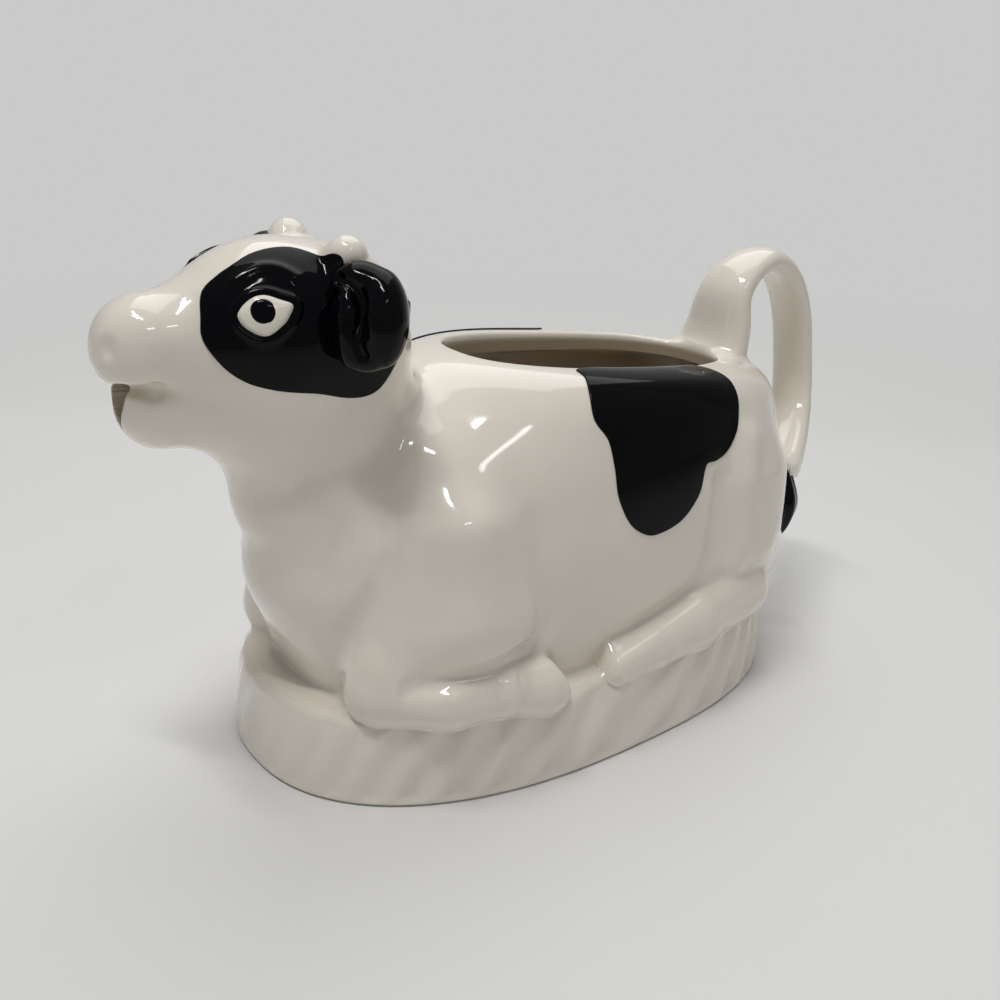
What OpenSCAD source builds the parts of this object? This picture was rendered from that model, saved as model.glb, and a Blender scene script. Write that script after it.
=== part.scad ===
// A cow creamer: a hollow glazed cow lying on an oval fluted plinth. It is filled through the open
// back, pours through the mouth and is held by the tail. The cow faces -X and its left flank is -Y.
// The origin is the middle of the resting face.

/* [Overall] */
// Length of the oval plinth
plinth_l = 124.6; // [100:0.1:150]
// Width of the oval plinth
plinth_w = 77.4; // [65:0.1:95]
// Height of the plinth
plinth_h = 17.5; // [12:0.1:24]
// Height of the horn tips over the table
cow_h = 101; // [85:0.1:125]

/* [Body] */
// Width of the torso at its widest
body_w = 68; // [58:0.1:78]
// Thickness of the cast wall
wall = 4; // [3:0.1:5.5]
// Thickness of the floor under the cavity
floor_t = 4.5; // [3:0.1:7]
// Length of the open back, over the lip
mouth_l = 76; // [66:0.1:82]
// Width of the open back, over the lip
mouth_w = 49; // [42:0.1:56]
// Width of the lip round the open back
lip_w = 1.8; // [1.2:0.1:3]

/* [Plinth flutes] */
// Flutes round the plinth wall
flute_count = 36; // [20:1:44]
// Depth of one flute
flute_depth = 0.7; // [0.3:0.1:1.2]
// Turn of a flute over the plinth height, as a share of its pitch
flute_lean_share = 0.8; // [0:0.1:1.5]

/* [Head] */
// Length of the skull
skull_l = 38; // [33:0.1:43]
// Width of the skull
skull_w = 32; // [28:0.1:36]
// Height of the skull
skull_h = 32; // [28:0.1:36]
// Diameter of the muzzle
muzzle_d = 19; // [16:0.1:22]
// Width of the pouring hole
pour_w = 7; // [5:0.1:8]
// Height of the pouring hole
pour_h = 6.5; // [5:0.1:8]
// Diameter of a horn at its root
horn_d = 9; // [6:0.1:11]
// Length of a horn bud from its middle
horn_h = 7; // [5:0.1:9]
// Length of a drooping ear
ear_l = 19; // [15:0.1:23]
// Width of an ear
ear_w = 13.5; // [9:0.1:16]
// Thickness of an ear
ear_t = 10; // [7:0.1:13]
// Length of the eye between its corners
eye_l = 10; // [8:0.1:12]
// Height of the eye
eye_h = 6.4; // [5:0.1:8]
// Diameter of the pupil
pupil_d = 3.6; // [2.5:0.1:4.5]

/* [Tail] */
// Width of the tail strap at the grip
tail_w = 11; // [8:0.1:14]
// Thickness of the tail strap at the grip
tail_t = 5.6; // [4:0.1:8]
// Thickness of the tuft over the rump
tuft_t = 2.6; // [1.5:0.1:4]

/* [Legs] */
// Diameter of the folded foreleg below the knee
shank_d = 12; // [9:0.1:14]
// Diameter of the folded hind leg below the hock
hind_shank_d = 10; // [8:0.1:12]
// Length of a hoof
hoof_l = 7; // [5:0.1:10]

/* [Colour coats] */
// Thickness of a black coat
coat_t = 0.35; // [0.3:0.05:0.6]

/* [Hidden] */

cream = [0.93, 0.91, 0.85];
black = [0.07, 0.07, 0.08];

overrun = wall / 2;
half_l = plinth_l / 2;
half_w = plinth_w / 2;
over_plinth = cow_h - plinth_h;
// The folded legs reach a little past the trunk, and shares across the cow are of that reach
leg_reach_share = 1.137;
half_reach = body_w / 2 * leg_reach_share;
// Squareness of the plinth oval in front and behind
plinth_squareness = [2.3, 2.65];
flute_points = 4;
level_points = 56;
ball_points = 28;
small_points = 20;

// A place given as shares: of the half plinth's length, the half reach and the height over the plinth
function spot(share) = [share[0] * half_l, share[1] * half_reach, plinth_h + share[2] * over_plinth];

function bent(v, e) = sign(v) * pow(abs(v), e);

// A point of an oval ring with half sizes a and b and a squareness of 2 or more
function oval(t, a, b, n) = [a * bent(cos(t), 2 / n), b * bent(sin(t), 2 / n)];

// Stacked closed rings of equal counts, joined into one solid with flat ends
module skin(rings) {
    rows = len(rings);
    count = len(rings[0]);
    sides = [for (r = [0 : rows - 2], i = [0 : count - 1])
        let (j = (i + 1) % count, a = r * count)
        each [[a + i, a + count + i, a + count + j], [a + i, a + count + j, a + j]]];
    bottom = [[for (i = [0 : count - 1]) i]];
    top = [[for (i = [count - 1 : -1 : 0]) (rows - 1) * count + i]];
    polyhedron(points = [for (r = rings) each r], faces = concat(bottom, sides, top), convexity = 6);
}

// One smooth cast form, kept as a single mesh at the size it has
module cast() { resize([0, 0, 0]) children(); }

module left_or_right(left) {
    if (left) children();
    else mirror([0, 1, 0]) children();
}

// An egg with the given full sizes, turned about Y
module egg(place, sizes, turn = 0, grow = 0, points = ball_points) {
    translate(place) rotate([0, turn, 0])
        scale([for (s = sizes) s / 2 + grow]) sphere(1, $fn = points);
}

// Rounded limb through a list of [place, diameter]
module limb(stations) {
    for (i = [0 : len(stations) - 2])
        hull() {
            for (s = [stations[i], stations[i + 1]])
                translate(spot(s[0])) sphere(d = s[1], $fn = small_points);
        }
}

// A smooth closed curve through the points of a table
function closed_curve(p, steps) = [for (i = [0 : len(p) - 1], k = [0 : steps - 1])
    let (n = len(p), t = k / steps, a = p[(i + n - 1) % n], b = p[i], c = p[(i + 1) % n], d = p[(i + 2) % n])
    (2 * b + (c - a) * t + (2 * a - 5 * b + 4 * c - d) * t * t + (3 * b - a - 3 * c + d) * t * t * t) / 2];

// A smooth open curve through the rows of a table
function open_curve(p, steps) = [for (i = [0 : len(p) - 2], k = [0 : i == len(p) - 2 ? steps : steps - 1])
    let (n = len(p), t = k / steps, a = p[max(i - 1, 0)], b = p[i], c = p[i + 1], d = p[min(i + 2, n - 1)])
    (2 * b + (c - a) * t + (2 * a - 5 * b + 4 * c - d) * t * t + (3 * b - a - 3 * c + d) * t * t * t) / 2];

// Side view outline, pushed sideways through the left half
module side_prism(outline) {
    points = [for (o = outline) let (p = spot([o[0], 0, o[1]])) [p[0], p[2]]];
    rotate([90, 0, 0]) linear_extrude(plinth_w) polygon(points);
}

/* Plinth */

plinth_levels_share = [0, 0.06, 0.3, 0.6, 0.86, 1];
plinth_draw_in_share = [0.012, 0, 0.004, 0.012, 0.022, 0.055];

// The flutes fade out on the first and last level
function flute(t, level_share) = let (turn = flute_count / 2 * t + 180 * flute_lean_share * level_share)
    flute_depth * sin(180 * level_share) * pow(sin(turn), 2);

module plinth_form() {
    steps = flute_count * flute_points;
    skin([for (k = [0 : len(plinth_levels_share) - 1])
        let (s = plinth_levels_share[k], draw = 1 - plinth_draw_in_share[k])
        [for (i = [0 : steps - 1])
            let (t = 360 * i / steps, cut = flute(t, s),
                n = plinth_squareness[cos(t) < 0 ? 0 : 1],
                p = oval(t, half_l * draw - cut, half_w * draw - cut, n))
            [p[0], p[1], s * plinth_h]]]);
}

module plinth() {
    color(cream) cast() difference() {
        plinth_form();
        cavity_form();
    }
}

/* Body */

mouth_x_share = 0.3;
mouth_z_share = 0.64;
mouth_fall = 0.17;
mouth_squareness = 2.2;

// Rows of the torso from the plinth up: height, front, rear, width, squareness, fall towards the rear
torso_shares = [
    [0, -0.86, 0.96, 0.93, 2.5, 0],
    [0.1, -0.895, 1.03, 0.98, 2.5, 0],
    [0.22, -0.905, 1.065, 1, 2.5, 0],
    [0.34, -0.88, 1.075, 0.985, 2.5, 0.1],
    [0.46, -0.76, 1.06, 0.93, 2.45, 0.35],
    [0.56, -0.55, 1.03, 0.85, 2.4, 0.7],
    [0.615, -0.42, 0.99, 0.78, 2.3, 0.9]
];

function level_ring(x, a, b, n, z, fall) = [for (i = [0 : level_points - 1])
    let (p = oval(360 * i / level_points, a, b, n)) [x + p[0], p[1], z - fall * p[0]]];

// A ring is drawn in by the inset, or swollen where it is negative
function torso_rings(inset) = [for (r = torso_shares)
    level_ring((r[1] + r[2]) / 2 * half_l, (r[2] - r[1]) / 2 * half_l - inset, r[3] * body_w / 2 - inset,
        r[4], plinth_h + r[0] * over_plinth, r[5] * mouth_fall)];

function mouth_ring(inset, lift) =
    level_ring(mouth_x_share * half_l, mouth_l / 2 - inset, mouth_w / 2 - inset, mouth_squareness,
        plinth_h + mouth_z_share * over_plinth + lift, mouth_fall);

module torso_form(grow = 0, lift = 0) {
    skin(concat(torso_rings(-grow), [mouth_ring(-grow, 0)], lift > 0 ? [mouth_ring(-grow, lift)] : []));
}

module cavity_form() {
    foot = torso_rings(wall)[0];
    skin(concat([[for (p = foot) [p[0], p[1], floor_t]]], torso_rings(wall),
        [mouth_ring(lip_w, 0), mouth_ring(lip_w, overrun)]));
}

module body_casting() {
    color(cream) cast() difference() {
        torso_form();
        cavity_form();
        head_form(-wall);
    }
}

/* Head and neck */

// Eggs that the head and neck are blended from: place, then sizes as shares of the skull or muzzle
skull_share = [-0.84, 0, 0.793];
skull_tilt = 8;
poll_share = [-0.73, 0, 0.76];
poll_size_shares = [0.9, 0.9, 0.9];
muzzle_share = [-1.225, 0, 0.795];
muzzle_size_shares = [1, 1, 0.85];
chin_share = [-1.17, 0, 0.685];
chin_size_shares = [0.9, 0.85, 0.8];
throat_share = [-0.84, 0, 0.63];
throat_size_shares = [0.6, 0.8, 0.6];
nape_share = [-0.665, 0, 0.5];
nape_size_shares = [1, 1.15, 1.2];
chest_share = [-0.62, 0, 0.2];
chest_size_shares = [1, 1.3, 1];
pour_share = [-1.34, 0, 0.68];
pour_depth_share = 0.6;

skull_size = [skull_l, skull_w, skull_h];
muzzle_size = [muzzle_d, muzzle_d, muzzle_d];

function sized(shares, size) = [for (k = [0 : 2]) shares[k] * size[k]];

module throat_egg(grow) egg(spot(throat_share), sized(throat_size_shares, skull_size), 0, grow);
module nape_egg(grow) egg(spot(nape_share), sized(nape_size_shares, skull_size), 0, grow);

module head_form(grow) {
    hull() {
        egg(spot(skull_share), skull_size, skull_tilt, grow);
        egg(spot(muzzle_share), sized(muzzle_size_shares, muzzle_size), 0, grow);
        egg(spot(chin_share), sized(chin_size_shares, muzzle_size), 0, grow);
        throat_egg(grow);
    }
    hull() {
        egg(spot(poll_share), sized(poll_size_shares, skull_size), 0, grow);
        throat_egg(grow);
        nape_egg(grow);
    }
    hull() {
        nape_egg(grow);
        egg(spot(chest_share), sized(chest_size_shares, skull_size), 0, grow);
    }
}

module pour_hole() {
    translate(spot(pour_share)) rotate([0, 90, 0])
        scale([pour_h, pour_w, skull_l * pour_depth_share]) cylinder(d = 1, h = 1, $fn = ball_points);
}

module head_casting() {
    color(cream) cast() difference() {
        head_form(0);
        head_form(-wall);
        pour_hole();
        torso_form();
        plinth_form();
    }
}

/* Horns and ears */

horn_share = [-0.735, -0.235, 0.915];
horn_tip_share = 0.6;

module horn_form() {
    hull() {
        translate(spot(horn_share)) sphere(d = horn_d, $fn = small_points);
        translate(spot(horn_share) + [0, 0, horn_h - horn_d * horn_tip_share / 2])
            sphere(d = horn_d * horn_tip_share, $fn = small_points);
    }
}

module horn(left) {
    color(cream) cast() left_or_right(left) difference() {
        horn_form();
        head_form(0);
    }
}
module horn_left() { horn(true); }
module horn_right() { horn(false); }

ear_share = [-0.745, -0.47, 0.845];
ear_turn = [20, 15, 20];

module ear(left) {
    color(black) cast() left_or_right(left) difference() {
        translate(spot(ear_share)) rotate(ear_turn)
            scale([ear_w / 2, ear_t / 2, ear_l / 2]) sphere(1, $fn = ball_points);
        head_form(coat_t);
        horn_form();
    }
}
module ear_left() { ear(true); }
module ear_right() { ear(false); }

/* Face coats and eyes */

face_outline_shares = [[-1.147, 0.85], [-1.12, 0.9], [-1.02, 0.943], [-0.885, 0.966], [-0.74, 0.945],
    [-0.65, 0.9], [-0.615, 0.8], [-0.655, 0.715], [-0.74, 0.688], [-0.88, 0.708], [-1.04, 0.741],
    [-1.12, 0.79]];
eye_place_share = [-0.992, 0.872];
// The almond of the eye: along its length and height
eye_outline_shares = [[-0.5, 0], [-0.25, 0.4], [0.05, 0.5], [0.5, 0.2], [0.3, -0.25], [0, -0.5],
    [-0.3, -0.35]];
eye_t = 0.6;
pupil_t = 0.4;

module layer(inner, outer) {
    difference() {
        head_form(outer);
        head_form(inner);
    }
}

module face_patch(left) {
    color(black) cast() left_or_right(left) difference() {
        intersection() {
            layer(0, coat_t);
            side_prism(closed_curve(face_outline_shares, 4));
        }
        horn_form();
        torso_form(coat_t);
    }
}
module face_patch_left() { face_patch(true); }
module face_patch_right() { face_patch(false); }

module eye_prism(form_points) {
    place = spot([eye_place_share[0], 0, eye_place_share[1]]);
    translate(place) rotate([90, 0, 0]) linear_extrude(plinth_w) polygon(form_points);
}

module eye_white(left) {
    almond = [for (o = closed_curve(eye_outline_shares, 4)) [o[0] * eye_l, o[1] * eye_h]];
    color(cream) cast() left_or_right(left) intersection() {
        layer(coat_t, coat_t + eye_t);
        eye_prism(almond);
    }
}
module eye_white_left() { eye_white(true); }
module eye_white_right() { eye_white(false); }

module pupil(left) {
    disc = [for (i = [0 : small_points - 1]) oval(360 * i / small_points, pupil_d / 2, pupil_d / 2, 2)];
    color(black) cast() left_or_right(left) intersection() {
        layer(coat_t + eye_t, coat_t + eye_t + pupil_t);
        eye_prism(disc);
    }
}
module pupil_left() { pupil(true); }
module pupil_right() { pupil(false); }

/* Flank coats */

flank_left_shares = [[-0.075, 0.73], [-0.09, 0.637], [-0.035, 0.547], [-0.03, 0.44], [0.02, 0.345],
    [0.12, 0.313], [0.26, 0.335], [0.34, 0.425], [0.36, 0.448], [0.45, 0.449], [0.535, 0.5], [0.568, 0.58],
    [0.51, 0.66], [0.42, 0.73]];
flank_right_shares = [[-0.25, 0.735], [-0.27, 0.6], [-0.15, 0.5], [0.02, 0.466], [0.16, 0.52], [0.29, 0.6],
    [0.33, 0.7]];

module flank_patch(left, outline) {
    color(black) cast() intersection() {
        difference() {
            torso_form(coat_t);
            torso_form(0, overrun);
        }
        left_or_right(left) side_prism(closed_curve(outline, 4));
    }
}
module flank_patch_left() { flank_patch(true, flank_left_shares); }
module flank_patch_right() { flank_patch(false, flank_right_shares); }

/* Legs */

shoulder_d = 27;
elbow_d = 32;
knee_d = 18;
shoulder_share = [-0.5, -0.49, 0.4];
elbow_share = [-0.49, -0.47, 0.17];
knee_share = [-0.7, -0.45, 0.08];
shank_shares = [[-0.75, -0.5, 0.045], [-0.6, -0.72, 0.04], [-0.41, -0.83, 0.04]];
fore_hoof_share = shank_shares[2] + [hoof_l / half_l, -0.01, 0];

haunch_d = 33;
rump_d = 27;
haunch_share = [0.62, -0.45, 0.38];
thigh_share = [0.62, -0.45, 0.2];
rump_share = [0.73, -0.44, 0.12];
hind_shank_shares = [[0.6, -0.82, 0.09], [0.32, -0.86, 0.065], [0.03, -0.87, 0.05]];
hind_hoof_share = hind_shank_shares[2] - [hoof_l / half_l, 0, 0.005];

// What a leg is cut back from: the trunk, the plinth and the flank coat beside it
module leg_clear(left) {
    torso_form();
    plinth_form();
    left_or_right(left) side_prism(closed_curve(left ? flank_left_shares : flank_right_shares, 4));
}

module foreleg_form() {
    limb([[shoulder_share, shoulder_d], [elbow_share, elbow_d], [knee_share, knee_d]]);
    limb([for (s = shank_shares) [s, shank_d]]);
}

module fore_hoof_form() {
    limb([[shank_shares[2], shank_d * 0.96], [fore_hoof_share, shank_d]]);
}

module foreleg(left) {
    color(cream) cast() difference() {
        left_or_right(left) foreleg_form();
        left_or_right(left) fore_hoof_form();
        leg_clear(left);
        head_form(0);
    }
}
module foreleg_left() { foreleg(true); }
module foreleg_right() { foreleg(false); }

module fore_hoof(left) {
    color(cream) cast() difference() {
        left_or_right(left) fore_hoof_form();
        torso_form();
        plinth_form();
    }
}
module fore_hoof_left() { fore_hoof(true); }
module fore_hoof_right() { fore_hoof(false); }

module hind_hoof_form() {
    limb([[hind_shank_shares[2], hind_shank_d * 0.96], [hind_hoof_share, hind_shank_d]]);
}

module hind_leg_form() {
    limb([[haunch_share, haunch_d], [thigh_share, haunch_d], [rump_share, rump_d]]);
    limb([for (s = hind_shank_shares) [s, hind_shank_d]]);
}

module hind_leg(left) {
    color(cream) cast() difference() {
        left_or_right(left) hind_leg_form();
        left_or_right(left) hind_hoof_form();
        leg_clear(left);
    }
}
module hind_leg_left() { hind_leg(true); }
module hind_leg_right() { hind_leg(false); }

module hind_hoof(left) {
    color(cream) cast() difference() {
        left_or_right(left) hind_hoof_form();
        torso_form();
        plinth_form();
    }
}
module hind_hoof_left() { hind_hoof(true); }
module hind_hoof_right() { hind_hoof(false); }

/* Tail */

// Rows of the tail from the rim: place, then its width and thickness as shares of those at the grip
tail_shares = [[0.864, 0, 0.502, 1.71, 1.7], [0.917, 0, 0.636, 1.6, 1.53], [0.94, 0, 0.74, 1.3, 1.2],
    [1.03, 0, 0.8, 1.1, 1.05], [1.14, 0, 0.815, 1, 1], [1.25, 0, 0.76, 1, 1], [1.335, 0, 0.65, 1, 1],
    [1.385, 0, 0.51, 1, 1], [1.385, -0.04, 0.39, 0.95, 1], [1.34, -0.13, 0.31, 0.9, 1],
    [1.25, -0.264, 0.269, 0.8, 1], [1.13, -0.394, 0.247, 0.75, 1], [1.03, -0.49, 0.26, 0.7, 0.95],
    [0.94, -0.533, 0.286, 0.6, 0.8]];
tail_squareness = 2.3;

module tail_form() {
    rows = open_curve(tail_shares, 3);
    n = len(rows);
    skin([for (i = [0 : n - 1])
        let (a = spot(rows[max(i - 1, 0)]), b = spot(rows[min(i + 1, n - 1)]),
            along = (b - a) / norm(b - a), flat = cross([0, 1, 0], along), out = flat / norm(flat),
            side = cross(out, along), width = rows[i][3] * tail_w, thick = rows[i][4] * tail_t)
        [for (k = [0 : small_points - 1])
            let (p = oval(360 * k / small_points, width / 2, thick / 2, tail_squareness))
            spot(rows[i]) + p[0] * side + p[1] * out]]);
}

module tail_handle() {
    color(cream) cast() difference() {
        tail_form();
        torso_form();
        plinth_form();
        left_or_right(true) hind_leg_form();
        left_or_right(false) hind_leg_form();
    }
}

tuft_shares = [[0.96, -0.558, 0.303], [0.95, -0.605, 0.213], [0.935, -0.609, 0.122]];
// Middle of the tuft and its tips, as shares of its thickness
tuft_d_shares = [1.6, 3.6, 1.2];

module tail_tuft() {
    color(black) cast() difference() {
        limb([for (i = [0 : 2]) [tuft_shares[i], tuft_d_shares[i] * tuft_t]]);
        torso_form();
        plinth_form();
        hind_leg_form();
        tail_form();
    }
}

plinth();
body_casting();
head_casting();
ear_left();
ear_right();
horn_left();
horn_right();
tail_handle();
tail_tuft();
foreleg_left();
foreleg_right();
fore_hoof_left();
fore_hoof_right();
hind_leg_left();
hind_leg_right();
hind_hoof_left();
hind_hoof_right();
flank_patch_left();
flank_patch_right();
face_patch_left();
face_patch_right();
eye_white_left();
eye_white_right();
pupil_left();
pupil_right();
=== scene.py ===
import math
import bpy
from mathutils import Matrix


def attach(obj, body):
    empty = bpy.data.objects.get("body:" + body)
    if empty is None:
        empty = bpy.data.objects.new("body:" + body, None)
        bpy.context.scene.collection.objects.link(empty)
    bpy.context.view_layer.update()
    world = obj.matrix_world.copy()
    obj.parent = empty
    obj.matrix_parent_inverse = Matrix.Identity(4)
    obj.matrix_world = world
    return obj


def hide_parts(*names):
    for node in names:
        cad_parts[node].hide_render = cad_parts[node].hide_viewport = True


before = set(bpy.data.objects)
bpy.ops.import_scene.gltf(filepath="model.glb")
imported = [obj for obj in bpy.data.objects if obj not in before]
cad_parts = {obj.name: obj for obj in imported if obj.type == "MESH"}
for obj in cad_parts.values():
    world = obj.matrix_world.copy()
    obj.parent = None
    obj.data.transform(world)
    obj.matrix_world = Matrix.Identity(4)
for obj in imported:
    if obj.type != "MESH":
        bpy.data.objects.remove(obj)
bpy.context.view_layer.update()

from concurrent.futures import ThreadPoolExecutor

import bpy
import numpy as np
from mathutils import Matrix, Vector

# Sizes below are in millimetres. The cow faces -X, its left flank is -Y and the table is z = 0.
# Every cream piece is a grid of two parameters. Its points are carried along straight lines until
# they lie on one common skin, so that the cast members melt into each other as they do under glaze.


# Arithmetic on whole arrays

def unit(v):
    # the same direction with a length of 1
    return v / np.maximum(np.linalg.norm(v, axis=-1, keepdims=True), 1e-9)


def smooth(low, high, x):
    # 0 below low, 1 above high, 3t^2 - 2t^3 between
    t = np.clip((x - low) / (high - low), 0, 1)
    return t * t * (3 - 2 * t)


def throughRows(rows, count, closed=False):
    # even steps on the cubic whose slope at each row is half the step between its neighbours
    rows = np.asarray(rows, float)
    if closed:
        padded = np.vstack([rows[-1:], rows, rows[:2]])
        t = np.linspace(0, len(rows), count, endpoint=False)
        i = t.astype(int)
    else:
        padded = np.vstack([2 * rows[0] - rows[1], rows, 2 * rows[-1] - rows[-2]])
        t = np.linspace(0, len(rows) - 1, count)
        i = np.minimum(t.astype(int), len(rows) - 2)
    f = (t - i)[:, None]
    a, b, c, d = padded[i], padded[i + 1], padded[i + 2], padded[i + 3]
    return (2 * b + (c - a) * f + (2 * a - 5 * b + 4 * c - d) * f ** 2 + (3 * b - a - 3 * c + d) * f ** 3) / 2


def melt(a, b, width):
    # the smaller of two distances, with a fillet where they are within width of each other
    h = np.maximum(width - np.abs(a - b), 0) / width
    return np.minimum(a, b) - h * h * h * width / 6


def carve(a, b, width):
    # a with b taken out of it, and a rounded edge
    return -melt(-a, b, width)


def meet(a, b, width):
    # what a and b have in common, with a rounded edge
    return -melt(-a, -b, width)


# Forms as distances, negative inside

def egg(p, place, halves, tilt=0.0):
    # ellipsoid turned about Y: k(k - 1) / |grad k|, k being the length of the point over the half sizes
    c, s = math.cos(math.radians(tilt)), math.sin(math.radians(tilt))
    x, y, z = (p - np.array(place, float))[..., 0], p[..., 1] - place[1], p[..., 2] - place[2]
    q = np.stack([x * c - z * s, y, x * s + z * c], -1)
    halves = np.array(halves, float)
    k = np.linalg.norm(q / halves, axis=-1)
    g = np.linalg.norm(q / halves ** 2, axis=-1)
    return k * (k - 1) / np.maximum(g, 1e-6)


def bone(p, start, end, fromRadius, toRadius, flat=1.0):
    # distance to a line less a radius that eases from one end's to the other's; flat squeezes it in Y
    a, b = np.array(start, float), np.array(end, float)
    q, w = p - a, b - a
    q = q / np.array([1, flat, 1]) if flat != 1 else q
    w = w / np.array([1, flat, 1]) if flat != 1 else w
    h = np.clip((q @ w) / (w @ w), 0, 1)
    radius = fromRadius + (toRadius - fromRadius) * h * h * (3 - 2 * h)
    return (np.linalg.norm(q - h[..., None] * w, axis=-1) - radius) * min(1, flat)


def cone(p, base, tip):
    # distance to a line less a radius that falls evenly from [x, y, z, radius] to the next
    a, b = np.array(base[:3]), np.array(tip[:3])
    q, w = p - a, b - a
    h = np.clip((q @ w) / (w @ w), 0, 1)
    return (np.linalg.norm(q - h[..., None] * w, axis=-1) - base[3] - (tip[3] - base[3]) * h) * 0.9


def bones(p, rows, width=3.0):
    # joints of [x, y, z, radius], melted together
    made = None
    for a, b in zip(rows[:-1], rows[1:]):
        d = bone(p, a[:3], b[:3], a[3], b[3])
        made = d if made is None else melt(made, d, width)
    return made


# The common skin

plinthLook = {
    "halfLength": 62.3, "halfWidth": 38.69, "height": 17.5,
    "squareFront": 2.3, "squareRear": 2.65,
    "levels": [0.0, 0.35, 1.0, 4.0, 9.0, 13.5, 16.0, 17.5],
    "drawIn": [0.9, 0.25, 0.0, 0.15, 0.55, 1.05, 1.7, 3.4],
    "flutes": 36, "fluteDepth": 1.0, "fluteLean": 1.1, "slack": 0.95,
}

trunkLook = {
    # level, front, rear, half width, squareness, fall towards the rear
    "rows": [[17.5, -53.6, 58.8, 31.6, 2.5, 0.0], [25.85, -55.8, 62.6, 33.3, 2.5, 0.0],
             [35.9, -56.4, 64.7, 34.0, 2.5, 0.0], [45.9, -54.8, 65.9, 33.5, 2.5, 0.017],
             [55.9, -47.3, 66.0, 31.6, 2.45, 0.05], [64.3, -34.3, 64.2, 28.9, 2.4, 0.09],
             [68.9, -26.0, 61.7, 26.0, 2.35, 0.115], [71.2, -20.5, 57.5, 23.2, 2.3, 0.125]],
    "wall": 4.0, "shoulder": 6.5, "curve": 240, "table": 300,
}

mouthLook = {"middle": 17.0, "halfLength": 33.2, "halfWidth": 16.4, "square": 2.6, "lip": 4.2, "edge": 2.2,
             "fillet": 3.0, "floor": 18.0}

# the trunk's rows at even levels, so that a point finds its own without a search
trunkCurve = throughRows(trunkLook["rows"], trunkLook["curve"])
rimLevel = trunkLook["rows"][-1][0]
trunkLevels = np.linspace(trunkCurve[0, 0], rimLevel, trunkLook["table"])
trunkColumns = [np.interp(trunkLevels, trunkCurve[:, 0], column) for column in trunkCurve[:, 1:].T]
trunkTable = np.stack(trunkColumns, -1)


# the distance to an oval along the line to its middle is longer than the true one, by about this share
ovalSlack = 0.93


def trunkRow(level):
    # middle, half length, half width, squareness and fall of the trunk's oval at a level
    t = np.clip((level - trunkLevels[0]) / (rimLevel - trunkLevels[0]), 0, 1) * (len(trunkLevels) - 1)
    i = np.minimum(t.astype(int), len(trunkLevels) - 2)
    row = trunkTable[i] + (trunkTable[i + 1] - trunkTable[i]) * (t - i)[..., None]
    front, rear = row[..., 0], row[..., 1]
    return (front + rear) / 2, (rear - front) / 2, row[..., 2], row[..., 3], row[..., 4]


def trunkLevel(p):
    # the level whose sloping oval holds the point, found in two steps
    level = p[..., 2]
    for step in range(2):
        middle, half, width, square, fall = trunkRow(level)
        level = p[..., 2] + fall * (p[..., 0] - middle)
    return level


def trunkSides(p):
    # distance out from the oval, in its own plane, and the level
    level = trunkLevel(p)
    middle, half, width, square, fall = trunkRow(level)
    x, y = p[..., 0] - middle, p[..., 1]
    out = np.hypot(x, y) + 1e-6
    k = ((np.abs(x) / half) ** square + (np.abs(y) / width) ** square) ** (1 / square) + 1e-9
    return (out - out / k) * ovalSlack, level


def oval(turn, halfLength, halfWidth, square):
    # |x / a| ^ n + |y / b| ^ n = 1, by its turn
    c, s = np.cos(turn), np.sin(turn)
    x = halfLength * np.sign(c) * np.abs(c) ** (2 / square)
    return x, halfWidth * np.sign(s) * np.abs(s) ** (2 / square)


def trunkRing(turn, level, inset):
    # a point of the trunk's oval at a turn, drawn in by the inset
    middle, half, width, square, fall = trunkRow(level)
    x, y = oval(turn, half - inset, width - inset, square)
    return np.stack([middle + x, y, level - fall * x], -1)


def mouthSides(p):
    # distance out from the oval of the open back
    k = mouthLook
    x, y = p[..., 0] - k["middle"], p[..., 1]
    out = np.hypot(x, y) + 1e-6
    square = k["square"]
    q = ((np.abs(x) / k["halfLength"]) ** square + (np.abs(y) / k["halfWidth"]) ** square) ** (1 / square)
    return (out - out / (q + 1e-9)) * ovalSlack


def cavity(p, sides, level):
    # inside the wall, under the lip or through the open back, and above the bowl's floor
    k = mouthLook
    through = np.minimum(mouthSides(p), level - rimLevel + k["lip"])
    return np.maximum(meet(sides + trunkLook["wall"], through, k["fillet"]), k["floor"] - level)


def plinthSides(p):
    # distance out from the plinth's oval, drawn in by its height's share, and above its ledge
    k = plinthLook
    turn = np.arctan2(p[..., 1] / k["halfWidth"], p[..., 0] / k["halfLength"])
    square = np.where(p[..., 0] < 0, k["squareFront"], k["squareRear"])
    draw = np.interp(p[..., 2], k["levels"], k["drawIn"])
    out = np.hypot(p[..., 0], p[..., 1]) + 1e-6
    q = ((np.abs(p[..., 0]) / (k["halfLength"] - draw)) ** square
         + (np.abs(p[..., 1]) / (k["halfWidth"] - draw)) ** square) ** (1 / square) + 1e-9
    return np.maximum((out - out / q) * k["slack"], p[..., 2] - k["height"])


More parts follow.
